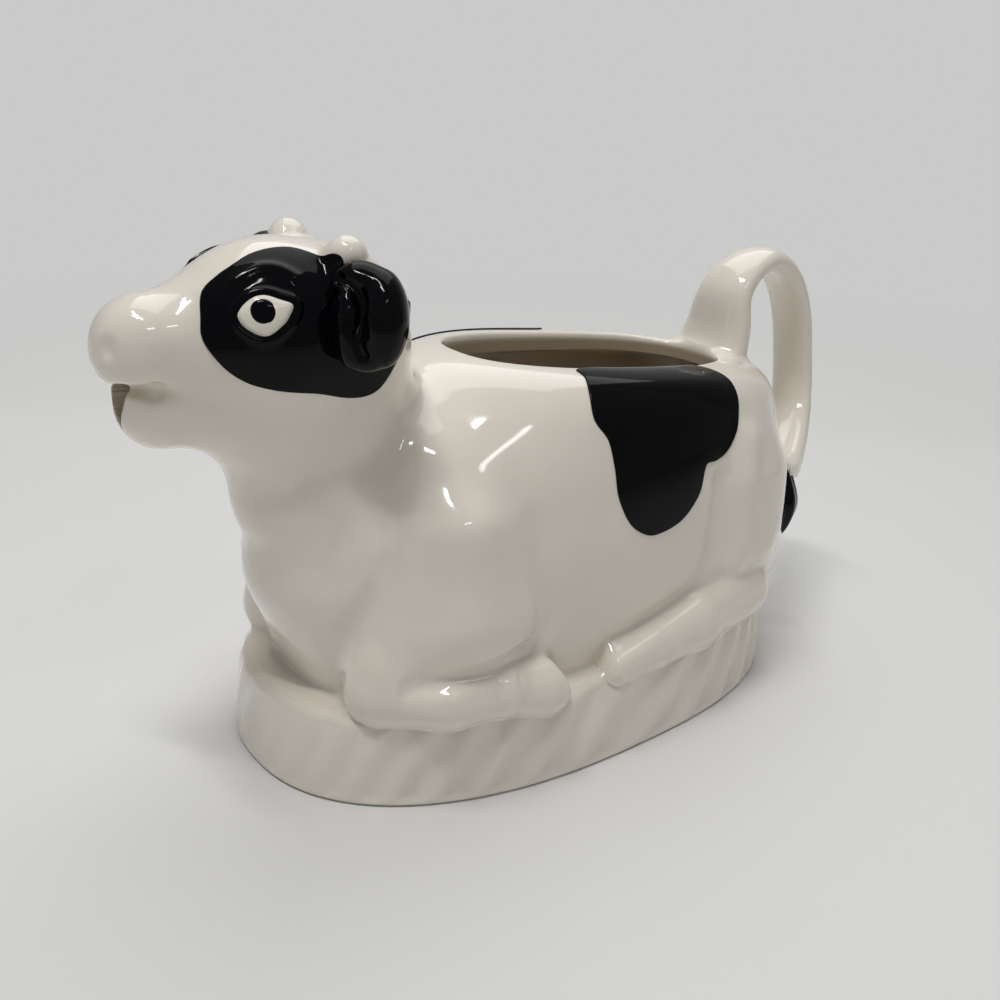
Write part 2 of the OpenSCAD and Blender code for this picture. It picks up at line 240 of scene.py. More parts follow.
legLook = {
    # joints of [x, y, z, radius]; the ends are a leaning plane's place and direction
    "shoulder": [[-31.0, -13.0, 57.0, 9.5], [-31.0, -17.5, 47.0, 13.2], [-30.5, -18.4, 34.0, 16.0]],
    "forearm": [[-31.0, -18.5, 32.0, 15.0], [-43.6, -18.4, 24.2, 9.5]],
    "foreShank": [[-46.0, -20.5, 21.3, 7.0], [-37.4, -27.9, 20.8, 6.2], [-27.5, -31.6, 20.8, 5.6]],
    "foreHoof": [[-26.5, -31.6, 20.2, 5.4], [-18.6, -32.0, 18.7, 6.5]],
    "foreEnd": [[-14.9, -32.0, 19.0], [0.90, 0.0, 0.43]],
    "haunch": [[38.6, -15.8, 53.5, 12.5], [38.6, -16.6, 46.0, 16.6], [38.6, -17.4, 34.2, 16.8],
               [46.0, -17.0, 27.5, 13.5]],
    "hindShank": [[38.0, -28.5, 22.5, 8.0], [22.0, -31.4, 20.5, 6.6], [9.0, -32.8, 19.0, 5.4]],
    "hindHoof": [[8.0, -33.0, 19.0, 5.2], [-1.5, -33.4, 18.2, 5.0]],
    "hindEnd": [[-4.6, -33.0, 19.0], [-0.93, 0.0, 0.37]],
}

headLook = {
    # eggs of [middle], [half sizes], tilt and joints of [x, y, z, radius]
    "skull": [[-53.2, 0, 83.6], [18.5, 15.8, 16.0], 8],
    "crown": [[-46.5, 0, 82.2], [16.4, 14.6, 15.8], 0],
    "nose": [[-77.0, 0, 84.2, 8.4], [-59.0, 0, 83.5, 12.0]],
    "jaw": [[-75.2, 0, 74.2, 7.2], [-55.0, 0, 73.0, 11.5]],
    "throat": [[-57.0, 0, 68.0, 10.0], [-49.5, 0, 54.0, 13.0], [-44.0, 0, 42.0, 17.0]],
    "neck": [[-44.0, 0, 76.0, 13.5], [-41.0, 0, 62.0, 14.0], [-38.6, 0, 40.0, 19.0]],
}

hornLook = {"root": [-44.4, -8.6, 89.5, 9.6], "tip": [-46.0, -10.2, 97.35, 3.45]}

tailLook = {
    # x, y, z, width, thickness; the search for the nearest place starts on every fourth one
    "rows": [[53.8, 0, 59.4, 18.8, 9.5], [57.1, 0, 70.6, 17.6, 8.6], [58.6, 0, 79.3, 14.3, 6.8],
             [64.2, 0, 84.3, 12.1, 5.9], [71.0, 0, 85.55, 11.0, 5.6], [77.9, 0, 81.0, 11.0, 5.6],
             [83.1, 0, 71.8, 11.0, 5.6], [85.6, -0.5, 58.8, 11.0, 5.6], [83.8, -3.0, 50.5, 10.5, 5.6],
             [79.6, -6.6, 45.5, 9.9, 5.6], [74.4, -10.9, 42.5, 8.8, 5.6], [68.5, -15.2, 40.8, 8.25, 5.6],
             [63.5, -18.6, 41.2, 7.7, 5.3], [58.6, -20.6, 42.4, 6.6, 4.5]],
    "square": 2.3, "beyond": 40.0, "front": 38.0, "bottom": 22.0, "settle": 0.8, "slackAlong": 0.3,
    "places": 150, "coarse": 4, "rounds": 4, "rings": 220, "columns": 72, "reach": 22.0, "ends": 0.5,
}

tailLine = throughRows(tailLook["rows"], tailLook["places"])


def tailFrame(line):
    # for each place of the tail: along it, across it and out of it
    along = unit(np.gradient(line[:, :3], axis=0))
    flat = unit(np.cross([0.0, 1.0, 0.0], along))
    return along, unit(np.cross(flat, along)), flat


tailRows = np.concatenate([tailLine, *tailFrame(tailLine)], 1)
tailStep = np.linalg.norm(np.diff(tailLine[:, :3], axis=0), axis=1).mean()


def tailDistance(p):
    # distance to the nearest place of the line, less the radius of its flattened section there
    shape = p.shape[:-1]
    p = p.reshape(-1, 3)
    k = tailLook
    made = np.full(len(p), k["beyond"])
    near = (p[:, 0] > k["front"]) & (p[:, 2] > k["bottom"])
    q = p[near]
    if len(q) == 0:
        return made.reshape(shape)
    coarse = tailLine[None, ::k["coarse"], :3]
    place = ((q[:, None, :] - coarse) ** 2).sum(-1).argmin(1) * float(k["coarse"])
    for step in range(k["rounds"]):
        i = np.minimum(place.astype(int), len(tailRows) - 2)
        row = tailRows[i] + (tailRows[i + 1] - tailRows[i]) * (place - i)[:, None]
        gap = q - row[:, :3]
        past = (gap * row[:, 5:8]).sum(1)
        if step < k["rounds"] - 1:
            place = np.clip(place + past / tailStep * k["settle"], 0, len(tailRows) - 1)
    a, b = (gap * row[:, 8:11]).sum(1), (gap * row[:, 11:14]).sum(1)
    square = k["square"]
    out = np.hypot(a, b) + 1e-6
    share = (np.abs(a / row[:, 3] * 2) ** square + np.abs(b / row[:, 4] * 2) ** square) ** (1 / square) + 1e-6
    past = np.maximum(np.abs(past) - k["slackAlong"], 0)
    side = out - out / share
    made[near] = np.where(side > 0, np.hypot(side, past), side + past)
    return made.reshape(shape)


memberNames = ["plinth", "trunk", "neck", "head", "horn", "shoulder", "foreShank", "foreHoof", "haunch",
               "hindShank", "hindHoof", "tail"]


# how far the parts of one member run into each other; a sloping level is a little less than a distance
meltWidths = {"crown": 3, "nose": 9, "jaw": 5, "leg": 6, "elbow": 7, "neck": 8, "hoof": 2.0}
levelSlack = 0.98


def hoof(left, end):
    # the hoof's bone, cut by a leaning plane [place, direction]
    place, direction = legLook[end + "End"]
    plane = (left - np.array(place)) @ np.array(direction)
    return meet(bones(left, legLook[end + "Hoof"]), plane, meltWidths["hoof"])


def members(p):
    # distance to each cast member, in the order of memberNames
    k = meltWidths
    left = np.stack([p[..., 0], -np.abs(p[..., 1]), p[..., 2]], -1)
    sides, level = trunkSides(p)
    trunk = meet(sides, (level - rimLevel) * levelSlack, trunkLook["shoulder"])
    head = melt(egg(p, *headLook["skull"]), egg(p, *headLook["crown"]), k["crown"])
    head = melt(melt(head, bones(p, headLook["nose"]), k["nose"]), bones(p, headLook["jaw"]), k["jaw"])
    horn = cone(left, hornLook["root"], hornLook["tip"])
    shoulder = bones(left, legLook["shoulder"], k["leg"])
    shoulder = melt(shoulder, bones(left, legLook["forearm"], k["leg"]), k["elbow"])
    neck = melt(bones(p, headLook["neck"], k["neck"]), bones(p, headLook["throat"]), k["neck"])
    return [plinthSides(p), trunk, neck, head, horn, shoulder,
            bones(left, legLook["foreShank"]), hoof(left, "fore"), bones(left, legLook["haunch"], k["leg"]),
            bones(left, legLook["hindShank"]), hoof(left, "hind"), tailDistance(p)]


blendWidths = {"trunk": 3.5, "neck": 8.0, "head": 7.0, "horn": 5.0, "shoulder": 5.0, "foreShank": 2.6,
               "foreHoof": 1.2, "haunch": 5.0, "hindShank": 2.6, "hindHoof": 1.2, "tail": 6.0}

# Soft valleys and ridges in the cast: a line on the left side, how deep it goes and how wide it is

reliefLook = {
    "behindForeleg": [[[-20.9, -32.0, 52.5], [-20.4, -32.7, 41.1], [-19.0, -33.2, 35.5], [-18.6, -33.0, 31.0],
                       [-20.2, -32.8, 28.0]], 1.4, 2.0],
    "overForeShank": [[[-20.1, -32.7, 27.7], [-27.1, -34.2, 28.0], [-32.7, -33.9, 27.2], [-39.4, -32.1, 26.0],
                       [-45.6, -28.7, 25.0]], 1.2, 1.7],
    "beforeForeleg": [[[-42.9, -19.8, 56.0], [-44.7, -22.3, 51.1], [-45.8, -23.0, 46.4], [-49.4, -20.9, 37.8],
                       [-52.7, -18.1, 29.6], [-53.2, -14.0, 20.5]], 1.2, 2.8],
    "underCheek": [[[-35.3, -12.7, 71.9], [-38.8, -14.8, 68.6], [-43.4, -15.1, 65.3], [-49.2, -13.8, 62.1],
                    [-56.5, -11.3, 59.1], [-60.5, -8.0, 57.4]], 0.8, 3.6],
    "beforeHaunch": [[[26.6, -32.0, 50.5], [25.8, -32.8, 46.0], [25.1, -33.3, 40.9], [23.8, -33.3, 33.8],
                      [20.1, -33.4, 28.7], [8.8, -33.7, 25.3], [-1.6, -35.5, 22.7]], 1.1, 2.2],
    "fetlock": [[[-23.8, -33.3, 26.8], [-26.6, -36.2, 24.0], [-26.4, -37.4, 19.6]], 0.35, 0.7],
    "pastern": [[[-29.6, -34.5, 28.2], [-31.0, -35.5, 23.5], [-30.5, -36.1, 19.4]], 0.25, 0.8],
    "thigh": [[[36.4, -30.6, 57.0], [33.3, -33.3, 49.4], [33.0, -34.4, 38.7],
               [31.0, -34.6, 31.0]], -1.3, 3.4],
    "foreleg": [[[-33.0, -30.0, 52.0], [-32.5, -31.5, 46.0], [-34.5, -33.0, 38.0]], -0.9, 5.5],
}


farAway = 99.0


def nearestOf(p, line):
    # distance from each point to a chain of points
    made = np.full(p.shape[:-1], farAway)
    for a, b in zip(line[:-1], line[1:]):
        w = b - a
        h = np.clip(((p - a) @ w) / (w @ w), 0, 1)
        made = np.minimum(made, np.linalg.norm(p - a - h[..., None] * w, axis=-1))
    return made


def relief(left):
    # depth times a bell curve of the distance to each line, over its width
    made = np.zeros(left.shape[:-1])
    for line, depth, width in reliefLook.values():
        line = throughRows(line, 3 * len(line))
        margin = 2.6 * width
        near = ((left > line.min(0) - margin) & (left < line.max(0) + margin)).all(-1)
        if near.any():
            made[near] += depth * np.exp(-(nearestOf(left[near], line) / width) ** 2)
    return made


def spoutHole(p):
    # a cone from its apex with a flat top and a pointed bottom: section sizes times the share of its reach
    k = faceLook["spout"]
    q = p - np.array(k["apex"])
    along = -q[..., 0]
    share = np.maximum(along, k["least"]) / k["reach"]
    y, z = np.abs(q[..., 1]) / share, q[..., 2] / share
    across, down = k["slantWay"]
    section = meet(z - k["top"], y - k["side"], k["round"])
    section = meet(section, y * across - z * down - k["slant"], k["round"])
    return np.maximum(section * share, k["depth"] - along)


def solidSkin(p, made=None):
    # all members melted together in turn, less the lip line, the spout and the nostrils, with the soft
    # valleys and ridges of the cast
    made = members(p) if made is None else made
    d = made[0]
    for name, part in zip(memberNames[1:], made[1:]):
        d = melt(d, part, blendWidths[name])
    left = np.stack([p[..., 0], -np.abs(p[..., 1]), p[..., 2]], -1)
    k = faceLook
    face = p[..., 0] < k["behind"]
    q, made = left[face], d[face]
    made = carve(made, bones(q, k["lip"]), k["lipEdge"])
    made = carve(made, spoutHole(q), k["spoutEdge"])
    made = carve(made, egg(q, *k["nostril"]), k["nostrilEdge"])
    d = d.copy()
    d[face] = made
    return d + relief(left)


def skin(p, made=None):
    # the solid skin less the cavity
    sides, level = trunkSides(p)
    return carve(solidSkin(p, made), cavity(p, sides, level), mouthLook["edge"])


faceLook = {
    "spout": {"apex": [-57.0, 0, 76.5], "reach": 26.5, "depth": 7.0, "top": 2.9, "side": 3.2, "slant": 2.5,
              "slantWay": (0.88, 0.47), "least": 2.0, "round": 1.5},
    "nostril": [[-84.9, -4.5, 85.8], [1.5, 1.6, 2.0]],
    "lip": [[-82.0, -3.4, 78.9, 0.9], [-78.5, -6.6, 78.6, 0.8], [-74.5, -8.8, 78.0, 0.3]],
    "behind": -50, "lipEdge": 2.4, "spoutEdge": 1.0, "nostrilEdge": 1.8,
}

seamLook = {"overlap": 0.8, "proud": 0.003, "smooth": 0.6}

# where a piece may not show in the cavity: how near to it, from which height, and how far over the rim
clearLook = {"near": 0.4, "bottom": 6.0, "over": 3}


def pieceField(name):
    # the common skin where the member is the outermost, and its own form inside the others; an earlier
    # member runs on over a later one by the overlap, a hair higher, so that no gap shows along a seam
    k = memberNames.index(name)
    whole = skin if name == "trunk" else solidSkin
    lift = seamLook["proud"] * (len(memberNames) - 1 - k)

    def field(p):
        made = members(p)
        before = np.minimum.reduce(made[:k]) if k else farAway
        after = np.minimum.reduce(made[k + 1:]) if k + 1 < len(made) else farAway
        sink = np.maximum(made[k] - before, made[k] - after - seamLook["overlap"])
        return whole(p, made) + np.maximum(0, sink) - lift
    return field


def keptOffCavity(p):
    # what reaches past the middle of the trunk's wall is laid back onto it
    sides, level = trunkSides(p)
    middle = trunkRow(level)[0]
    half = trunkLook["wall"] / 2
    k = clearLook
    deep = (cavity(p, sides, level) < k["near"]) & (p[..., 2] > k["bottom"]) & (level < rimLevel + k["over"])
    x, y = p[..., 0] - middle, p[..., 1]
    out = np.hypot(x, y) + 1e-6
    grow = (out - sides / ovalSlack - half) / out
    made = p.copy()
    made[..., 0] = np.where(deep, middle + x * grow, p[..., 0])
    made[..., 1] = np.where(deep, y * grow, p[..., 1])
    return made


workers = ThreadPoolExecutor(4)
portion = 5000  # points that a worker takes at a time

# steps along a line, how much they crowd towards its start, halvings of the last step, the gap between
# the places that a slope is taken from, and how far out the skin's curl is felt
carryLook = {"steps": 14, "crowding": 1.4, "halvings": 11, "slopeStep": 0.12, "curlReach": 1.6}


def spread(field, p):
    # the field at many points, shared out among the workers
    flat = p.reshape(-1, 3)
    shares = np.array_split(flat, max(1, len(flat) // portion))
    return np.concatenate(list(workers.map(field, shares))).reshape(p.shape[:-1])


def carried(field, origins, directions, reach):
    # each origin goes along its direction until the field turns positive: steps, then halving
    low = np.zeros(origins.shape[:-1])
    high = np.full(origins.shape[:-1], float(reach))
    found = np.zeros(origins.shape[:-1], bool)
    steps = carryLook["steps"]
    for k in range(1, steps + 1):
        t = reach * (k / steps) ** carryLook["crowding"]
        outside = spread(field, origins + directions * t) > 0
        fresh = outside & ~found
        high[fresh] = t
        low[~found & ~outside] = t
        found |= fresh
    for k in range(carryLook["halvings"]):
        t = (low + high) / 2
        outside = spread(field, origins + directions * t[..., None]) > 0
        high = np.where(outside, t, high)
        low = np.where(outside, low, t)
    return origins + directions * ((low + high) / 2)[..., None]


def slopeOf(field, p):
    # direction in which the field grows, from four points round each place
    step = carryLook["slopeStep"]
    corners = np.array([[1, -1, -1], [-1, -1, 1], [-1, 1, -1], [1, 1, 1]], float)
    return unit(sum(c * spread(field, p + c * step)[..., None] for c in corners))


# Meshes

def gridFaces(rows, columns):
    # four-sided faces between rings of a grid, each ring closed on itself
    i, j = np.meshgrid(np.arange(rows - 1), np.arange(columns), indexing="ij")
    k = (j + 1) % columns
    a, b, c, d = i * columns + j, i * columns + k, (i + 1) * columns + k, (i + 1) * columns + j
    return np.stack([a, b, c, d], -1).reshape(-1, 4)


def addMesh(name, points, faces, normals, material, nodes, shades=None):
    # faces are whole arrays, one for each number of corners; millimetres turn to metres here
    mesh = bpy.data.meshes.new(name)
    points = np.asarray(points, float)
    loops = np.concatenate([np.asarray(f).ravel() for f in faces])
    sizes = np.concatenate([np.full(len(f), f.shape[1]) for f in faces])
    mesh.vertices.add(len(points))
    mesh.vertices.foreach_set("co", (points * 0.001).astype(np.float32).ravel())
    mesh.loops.add(len(loops))
    mesh.loops.foreach_set("vertex_index", loops.astype(np.int32))
    mesh.polygons.add(len(sizes))
    mesh.polygons.foreach_set("loop_start", np.concatenate([[0], np.cumsum(sizes)[:-1]]).astype(np.int32))
    mesh.update(calc_edges=True)
    mesh.polygons.foreach_set("use_smooth", np.ones(len(sizes), bool))
    if shades is not None:
        mesh.attributes.new("hollow", "FLOAT", "POINT").data.foreach_set("value", shades.astype(np.float32))
    if normals is not None:
        mesh.normals_split_custom_set_from_vertices(normals.astype(np.float32))
    mesh.materials.append(material)
    piece = bpy.data.objects.new(name, mesh)
    bpy.context.scene.collection.objects.link(piece)
    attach(piece, "root")
    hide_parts(*nodes)


def closedGrid(grid, normals, low, high):
    # rows of rings closed by a point at each end: points, faces and normals
    rows, columns = grid.shape[:2]
    points = np.vstack([grid.reshape(-1, 3), low["point"], high["point"]])
    normals = np.vstack([normals.reshape(-1, 3), low["normal"], high["normal"]])
    j = np.arange(columns)
    k = (j + 1) % columns
    bottom = np.stack([np.full(columns, rows * columns), k, j], -1)
    last = (rows - 1) * columns
    top = np.stack([np.full(columns, rows * columns + 1), last + j, last + k], -1)
    return points, [gridFaces(rows, columns), bottom, top], normals


def hollowness(field, p, normals):
    # how much the skin curls in on itself: the field a little way out, against a flat one; it sets the
    # painted shade in hollows
    out = carryLook["curlReach"]
    return np.clip(1 - spread(field, p + normals * out) / out, -1, 1)


def flipped(faces):
    # the same faces seen from their other side
    return [np.asarray(f)[:, ::-1] for f in faces]


def outward(points, faces):
    # turns the faces where the closed mesh's volume comes out negative
    volume = 0.0
    for f in faces:
        a = points[f[:, 0]]
        for k in range(1, f.shape[1] - 1):
            volume += np.einsum("ij,ij->i", a, np.cross(points[f[:, k]], points[f[:, k + 1]])).sum()
    return faces if volume > 0 else flipped(faces)


mirror = np.array([1, -1, 1])

# the spout's wall: from which x, how near to the hole, and its painted shade between the painted hollow shade
# and the painted brown inside shade
spoutShade = {"front": -60, "near": 0.25, "shade": 1.7}


def pressedPiece(name, field, origins, directions, reach, nodes, low, high, mirrored=False):
    # carries a grid of lines to the skin and closes it
    grid = carried(field, origins, directions, reach)
    slope = slopeOf(field, grid)
    onSkin = np.abs(spread(solidSkin, grid)) < seamLook["smooth"]
    slope = np.where(onSkin[..., None], slopeOf(solidSkin, grid), slope)
    # painted shade: the spout's inner wall is marked for the painted brown inside shade, the rest for painted
    # shade by hollowness
    spout = (grid[..., 0] < spoutShade["front"]) & (spoutHole(grid) < spoutShade["near"])
    shades = np.where(spout, spoutShade["shade"], hollowness(solidSkin, grid, slope))
    grid = keptOffCavity(grid)
    points, faces, normals = closedGrid(grid, slope, low, high)
    shades = np.concatenate([shades.ravel(), [0, 0]])
    faces = outward(points, faces)
    addMesh(name, points, faces, normals, creamGlaze, nodes, shades)
    if mirrored:
        rightNodes = [node.replace("left", "right") for node in nodes]
        addMesh(name.replace("Left", "Right"), points * mirror, flipped(faces), normals * mirror, creamGlaze,
                rightNodes, shades)
    print("made", name, "with", len(points), "points")


def ballLines(centre, rows, columns, axis=(0, 0, 1)):
    # directions over a ball, without its two poles, about an axis
    axis = unit(np.array(axis, float))
    side = unit(np.cross(axis, [0.0, 1.0, 0.0]))
    other = np.cross(axis, side)
    v = (np.arange(rows) + 0.5) / rows * math.pi
    u = np.arange(columns) / columns * 2 * math.pi
    v, u = np.meshgrid(v, u, indexing="ij")
    d = (np.sin(v) * np.cos(u))[..., None] * side + (np.sin(v) * np.sin(u))[..., None] * other
    d = d - np.cos(v)[..., None] * axis
    return np.broadcast_to(np.array(centre, float), d.shape).copy(), d, axis


def ballPiece(name, member, centre, rows, columns, reach, nodes, axis=(0, 0, 1), mirrored=False):
    # a member from lines that leave one place in all directions
    origins, directions, axis = ballLines(centre, rows, columns, axis)
    field = pieceField(member)
    ends = carried(field, np.array([centre, centre], float), np.array([-axis, axis]), reach)
    low, high = {"point": ends[0], "normal": -axis}, {"point": ends[1], "normal": axis}
    pressedPiece(name, field, origins, directions, reach, nodes, low, high, mirrored)


def limbLines(line, rows, columns, startRound, endRound):
    # rings of lines square to a path, turning to point along it over its two ends
    path = throughRows(line, rows)[:, :3]
    along = unit(np.gradient(path, axis=0))
    nearlyY = [0.0, 1.0, 0.001]
    across = unit(np.cross(along, nearlyY))
    other = np.cross(along, across)
    u = np.arange(columns) / columns * 2 * math.pi
    ring = np.cos(u)[None, :, None] * across[:, None] + np.sin(u)[None, :, None] * other[:, None]
    origins = np.repeat(path[:, None], columns, 1)
    roundOrigins, roundWays = [], []
    for sign, turns, k in ((-1, startRound, 0), (1, endRound, -1)):
        lean = (np.arange(turns) + 0.5) / turns * math.pi / 2
        lean = (math.pi / 2 - lean[::-sign])[:, None, None]
        roundWays.append(np.cos(lean) * ring[k][None] + sign * np.sin(lean) * along[k][None, None])
        roundOrigins.append(np.broadcast_to(path[k], roundWays[-1].shape).copy())
    origins = np.concatenate([roundOrigins[0], origins, roundOrigins[1]])
    directions = np.concatenate([roundWays[0], ring, roundWays[1]])
    return origins, directions, path[0], path[-1], along[0], along[-1]


def limbPiece(name, member, line, rows, columns, reach, nodes, rounds, mirrored=True):
    # a member from lines that leave a path squarely, and round its ends
    origins, directions, first, last, startWay, endWay = limbLines(line, rows, columns, rounds, rounds)
    field = pieceField(member)
    ends = carried(field, np.array([first, last]), np.array([-startWay, endWay]), reach)
    low, high = {"point": ends[0], "normal": -startWay}, {"point": ends[1], "normal": endWay}
    pressedPiece(name, field, origins, directions, reach, nodes, low, high, mirrored)


# Glazes

creamLook = {
    "body": (0.80, 0.748, 0.655), "brighter": 1.05,
    # painted shade: a darker colour mixed into creases and hollows by the hollow attribute
    "pooled": (0.60, 0.50, 0.37), "pooledFrom": (0.2, 0.8), "pooledMost": 0.8,
    # painted shade: a brown colour for the cavity's inside and the spout
    "inside": (0.52, 0.42, 0.30), "paintedInsideShadeFrom": (1.2, 1.8),
    "clouds": 38.0, "cloudEdges": (0.3, 0.7), "fine": 900.0,
    "specks": 75.0, "speckSize": 0.018, "speck": (0.25, 0.20, 0.14, 1),
    "rough": (0.07, 0.12), "ripple": 160.0, "rippleHeight": 0.00012, "bump": 0.25,
    "shader": {"IOR": 1.5, "Coat Weight": 0.6, "Coat Roughness": 0.03, "Subsurface Weight": 0.08,
               "Subsurface Radius": (1.0, 0.8, 0.55), "Subsurface Scale": 0.0012},
}

blackLook = {
    "body": (0.0012, 0.0015, 0.0026), "thin": (0.004, 0.0037, 0.004),
    "clouds": 60.0, "cloudEdges": (0.35, 0.8),
    "rough": (0.04, 0.11), "ripple": 220.0, "rippleHeight": 0.0001, "bump": 0.25,
    "shader": {"IOR": 1.4, "Specular IOR Level": 0.16, "Coat Weight": 0.05, "Coat Roughness": 0.03},
}


def nodeMaker(material):
    # a function that adds a node, sets its values and links or sets its inputs
    material.use_nodes = True
    tree = material.node_tree
    tree.nodes.clear()

    def make(kind, inputs=None, **values):
        node = tree.nodes.new(kind)
        for key, value in values.items():
            setattr(node, key, value)
        for key, value in (inputs or {}).items():
            if isinstance(value, bpy.types.NodeSocket):
                tree.links.new(value, node.inputs[key])
            else:
                node.inputs[key].default_value = value
        return node
    return make


def ramp(make, source, stops):
    # colours at places along a value
    node = make("ShaderNodeValToRGB", {"Fac": source})
    while len(node.color_ramp.elements) < len(stops):
        node.color_ramp.elements.new(0.5)
    for element, (place, colour) in zip(node.color_ramp.elements, stops):
        element.position = place
        element.color = (*colour, 1)
    return node.outputs["Color"]


def noise(make, place, scale, detail=2.0):
    return make("ShaderNodeTexNoise", {"Vector": place, "Scale": scale, "Detail": detail}).outputs["Fac"]


def stretched(make, value, span, least=0.0, most=1.0, **how):
    # least below the span, most above it and evenly between
    inputs = {"Value": value, "From Min": span[0], "From Max": span[1], "To Min": least, "To Max": most}
    return make("ShaderNodeMapRange", inputs, **how).outputs["Result"]


def mixed(make, share, first, second):
    node = make("ShaderNodeMix", {"Factor": share, "A": first, "B": second}, data_type="RGBA")
    return node.outputs["Result"]


def finishGlaze(make, look, place, base, roughness):
    # the ripple of the fired glaze, its roughness and its gloss
    ripple = noise(make, place, look["ripple"])
    rough = stretched(make, roughness, (0.0, 1.0), *look["rough"])
    bump = {"Height": ripple, "Strength": look["bump"], "Distance": look["rippleHeight"]}
    bump = make("ShaderNodeBump", bump)
    inputs = {"Base Color": base, "Roughness": rough, "Normal": bump.outputs["Normal"]}
    shader = make("ShaderNodeBsdfPrincipled", {**inputs, **look["shader"]})
    make("ShaderNodeOutputMaterial", {"Surface": shader.outputs["BSDF"]})


def makeCreamGlaze(name, useHollow):
    # clouded cream with painted shade: darker in creases and hollows and a painted brown shade inside the
    # cavity and the spout, with sparse specks
    k, material = creamLook, bpy.data.materials.new(name)
    make = nodeMaker(material)
    place = make("ShaderNodeTexCoord").outputs["Object"]
    low, high = k["body"], tuple(min(1, c * k["brighter"]) for c in k["body"])
    base = ramp(make, noise(make, place, k["clouds"], 3.0), list(zip(k["cloudEdges"], (low, high))))
    if useHollow:
        hollow = make("ShaderNodeAttribute", attribute_name="hollow").outputs["Fac"]
        # painted shade: the cream turns darker where the skin curls into a hollow
        pooled = stretched(make, hollow, k["pooledFrom"], 0.0, k["pooledMost"])
        base = mixed(make, pooled, base, (*k["pooled"], 1))
        # painted shade: brown where the attribute marks the cavity's inside or the spout
        base = mixed(make, stretched(make, hollow, k["paintedInsideShadeFrom"]), base, (*k["inside"], 1))
    specks = make("ShaderNodeTexVoronoi", {"Vector": place, "Scale": k["specks"]}).outputs["Distance"]
    speck = ramp(make, specks, [(0.0, (1, 1, 1)), (k["speckSize"], (0, 0, 0))])
    base = mixed(make, speck, base, k["speck"])
    finishGlaze(make, k, place, base, noise(make, place, k["fine"]))
    return material


def makeBlackGlaze():
    # near black that clouds a little lighter and rougher
    k, material = blackLook, bpy.data.materials.new("blackGlaze")
    make = nodeMaker(material)
    place = make("ShaderNodeTexCoord").outputs["Object"]
    clouds = noise(make, place, k["clouds"], 3.0)
    base = ramp(make, clouds, list(zip(k["cloudEdges"], (k["body"], k["thin"]))))
    finishGlaze(make, k, place, base, clouds)
    return material


creamGlaze = makeCreamGlaze("creamGlaze", True)
blackGlaze = makeBlackGlaze()
eyeGlaze = makeCreamGlaze("eyeGlaze", False)


# Plinth: bottom, foot, fluted wall and ledge, then the bowl of the cavity

plinthGrid = {
    "columns": 720, "bottomInset": 0.9, "wallFrom": 10.0, "reach": 16.0,
    "heights": [0.0, 0.12, 0.3, 0.6, *np.linspace(1.0, 14.0, 40), *np.linspace(14.3, 16.8, 9)],
    "ledgeLevel": 19.0, "ledgeInset": 0.8, "lipInset": 2.0, "lipHeight": 17.0,
    # height of the bowl's rings and how far they lie within the wall
    "bowl": [(17.5, 0.0), (14.0, 0.0), (10.0, 0.2), (7.4, 1.0), (5.6, 2.6), (4.8, 4.6), (4.5, 7.0)],
    "floor": (0.75, 0.5, 0.25, 0.08), "floorMiddle": [3.0, 0, 4.5],
    "bottom": (0.02, 1, 10), "ledge": (0, 1, 26), "curve": 200,
    "fluteIn": (0.02, 0.12), "fluteOut": (0.86, 1.0), "weakFrom": (0.5, 0.95), "weakest": 0.75,
}


def plinthFlute(turn, height):
    # the depth of the leaning flutes: sine squared, faded out at the foot, the ledge and the front
    k, g = plinthLook, plinthGrid
    share = np.clip(height / k["height"], 0, 1)
    fade = smooth(*g["fluteIn"], share) * (1 - smooth(*g["fluteOut"], share))
    wave = np.sin(k["flutes"] / 2 * turn - math.pi * k["fluteLean"] * share) ** 2
    weak = 1 - g["weakest"] * smooth(*g["weakFrom"], -np.cos(turn))
    return k["fluteDepth"] * fade * wave * weak


def plinthRing(turn, inset, height):
    # a ring of the plinth's oval, drawn in; its front half is rounder than its rear
    k = plinthLook
    square = np.where(np.cos(turn) < 0, k["squareFront"], k["squareRear"])
    x, y = oval(turn, k["halfLength"] - inset, k["halfWidth"] - inset, square)
    return np.stack([x, y, np.broadcast_to(height, x.shape)], -1)


def bowlRing(turn, inset, height):
    # a ring of the trunk's lowest oval, drawn in and laid at a height
    ring = trunkRing(turn, np.full(len(turn), plinthLook["height"]), inset)
    ring[:, 2] = height
    return ring


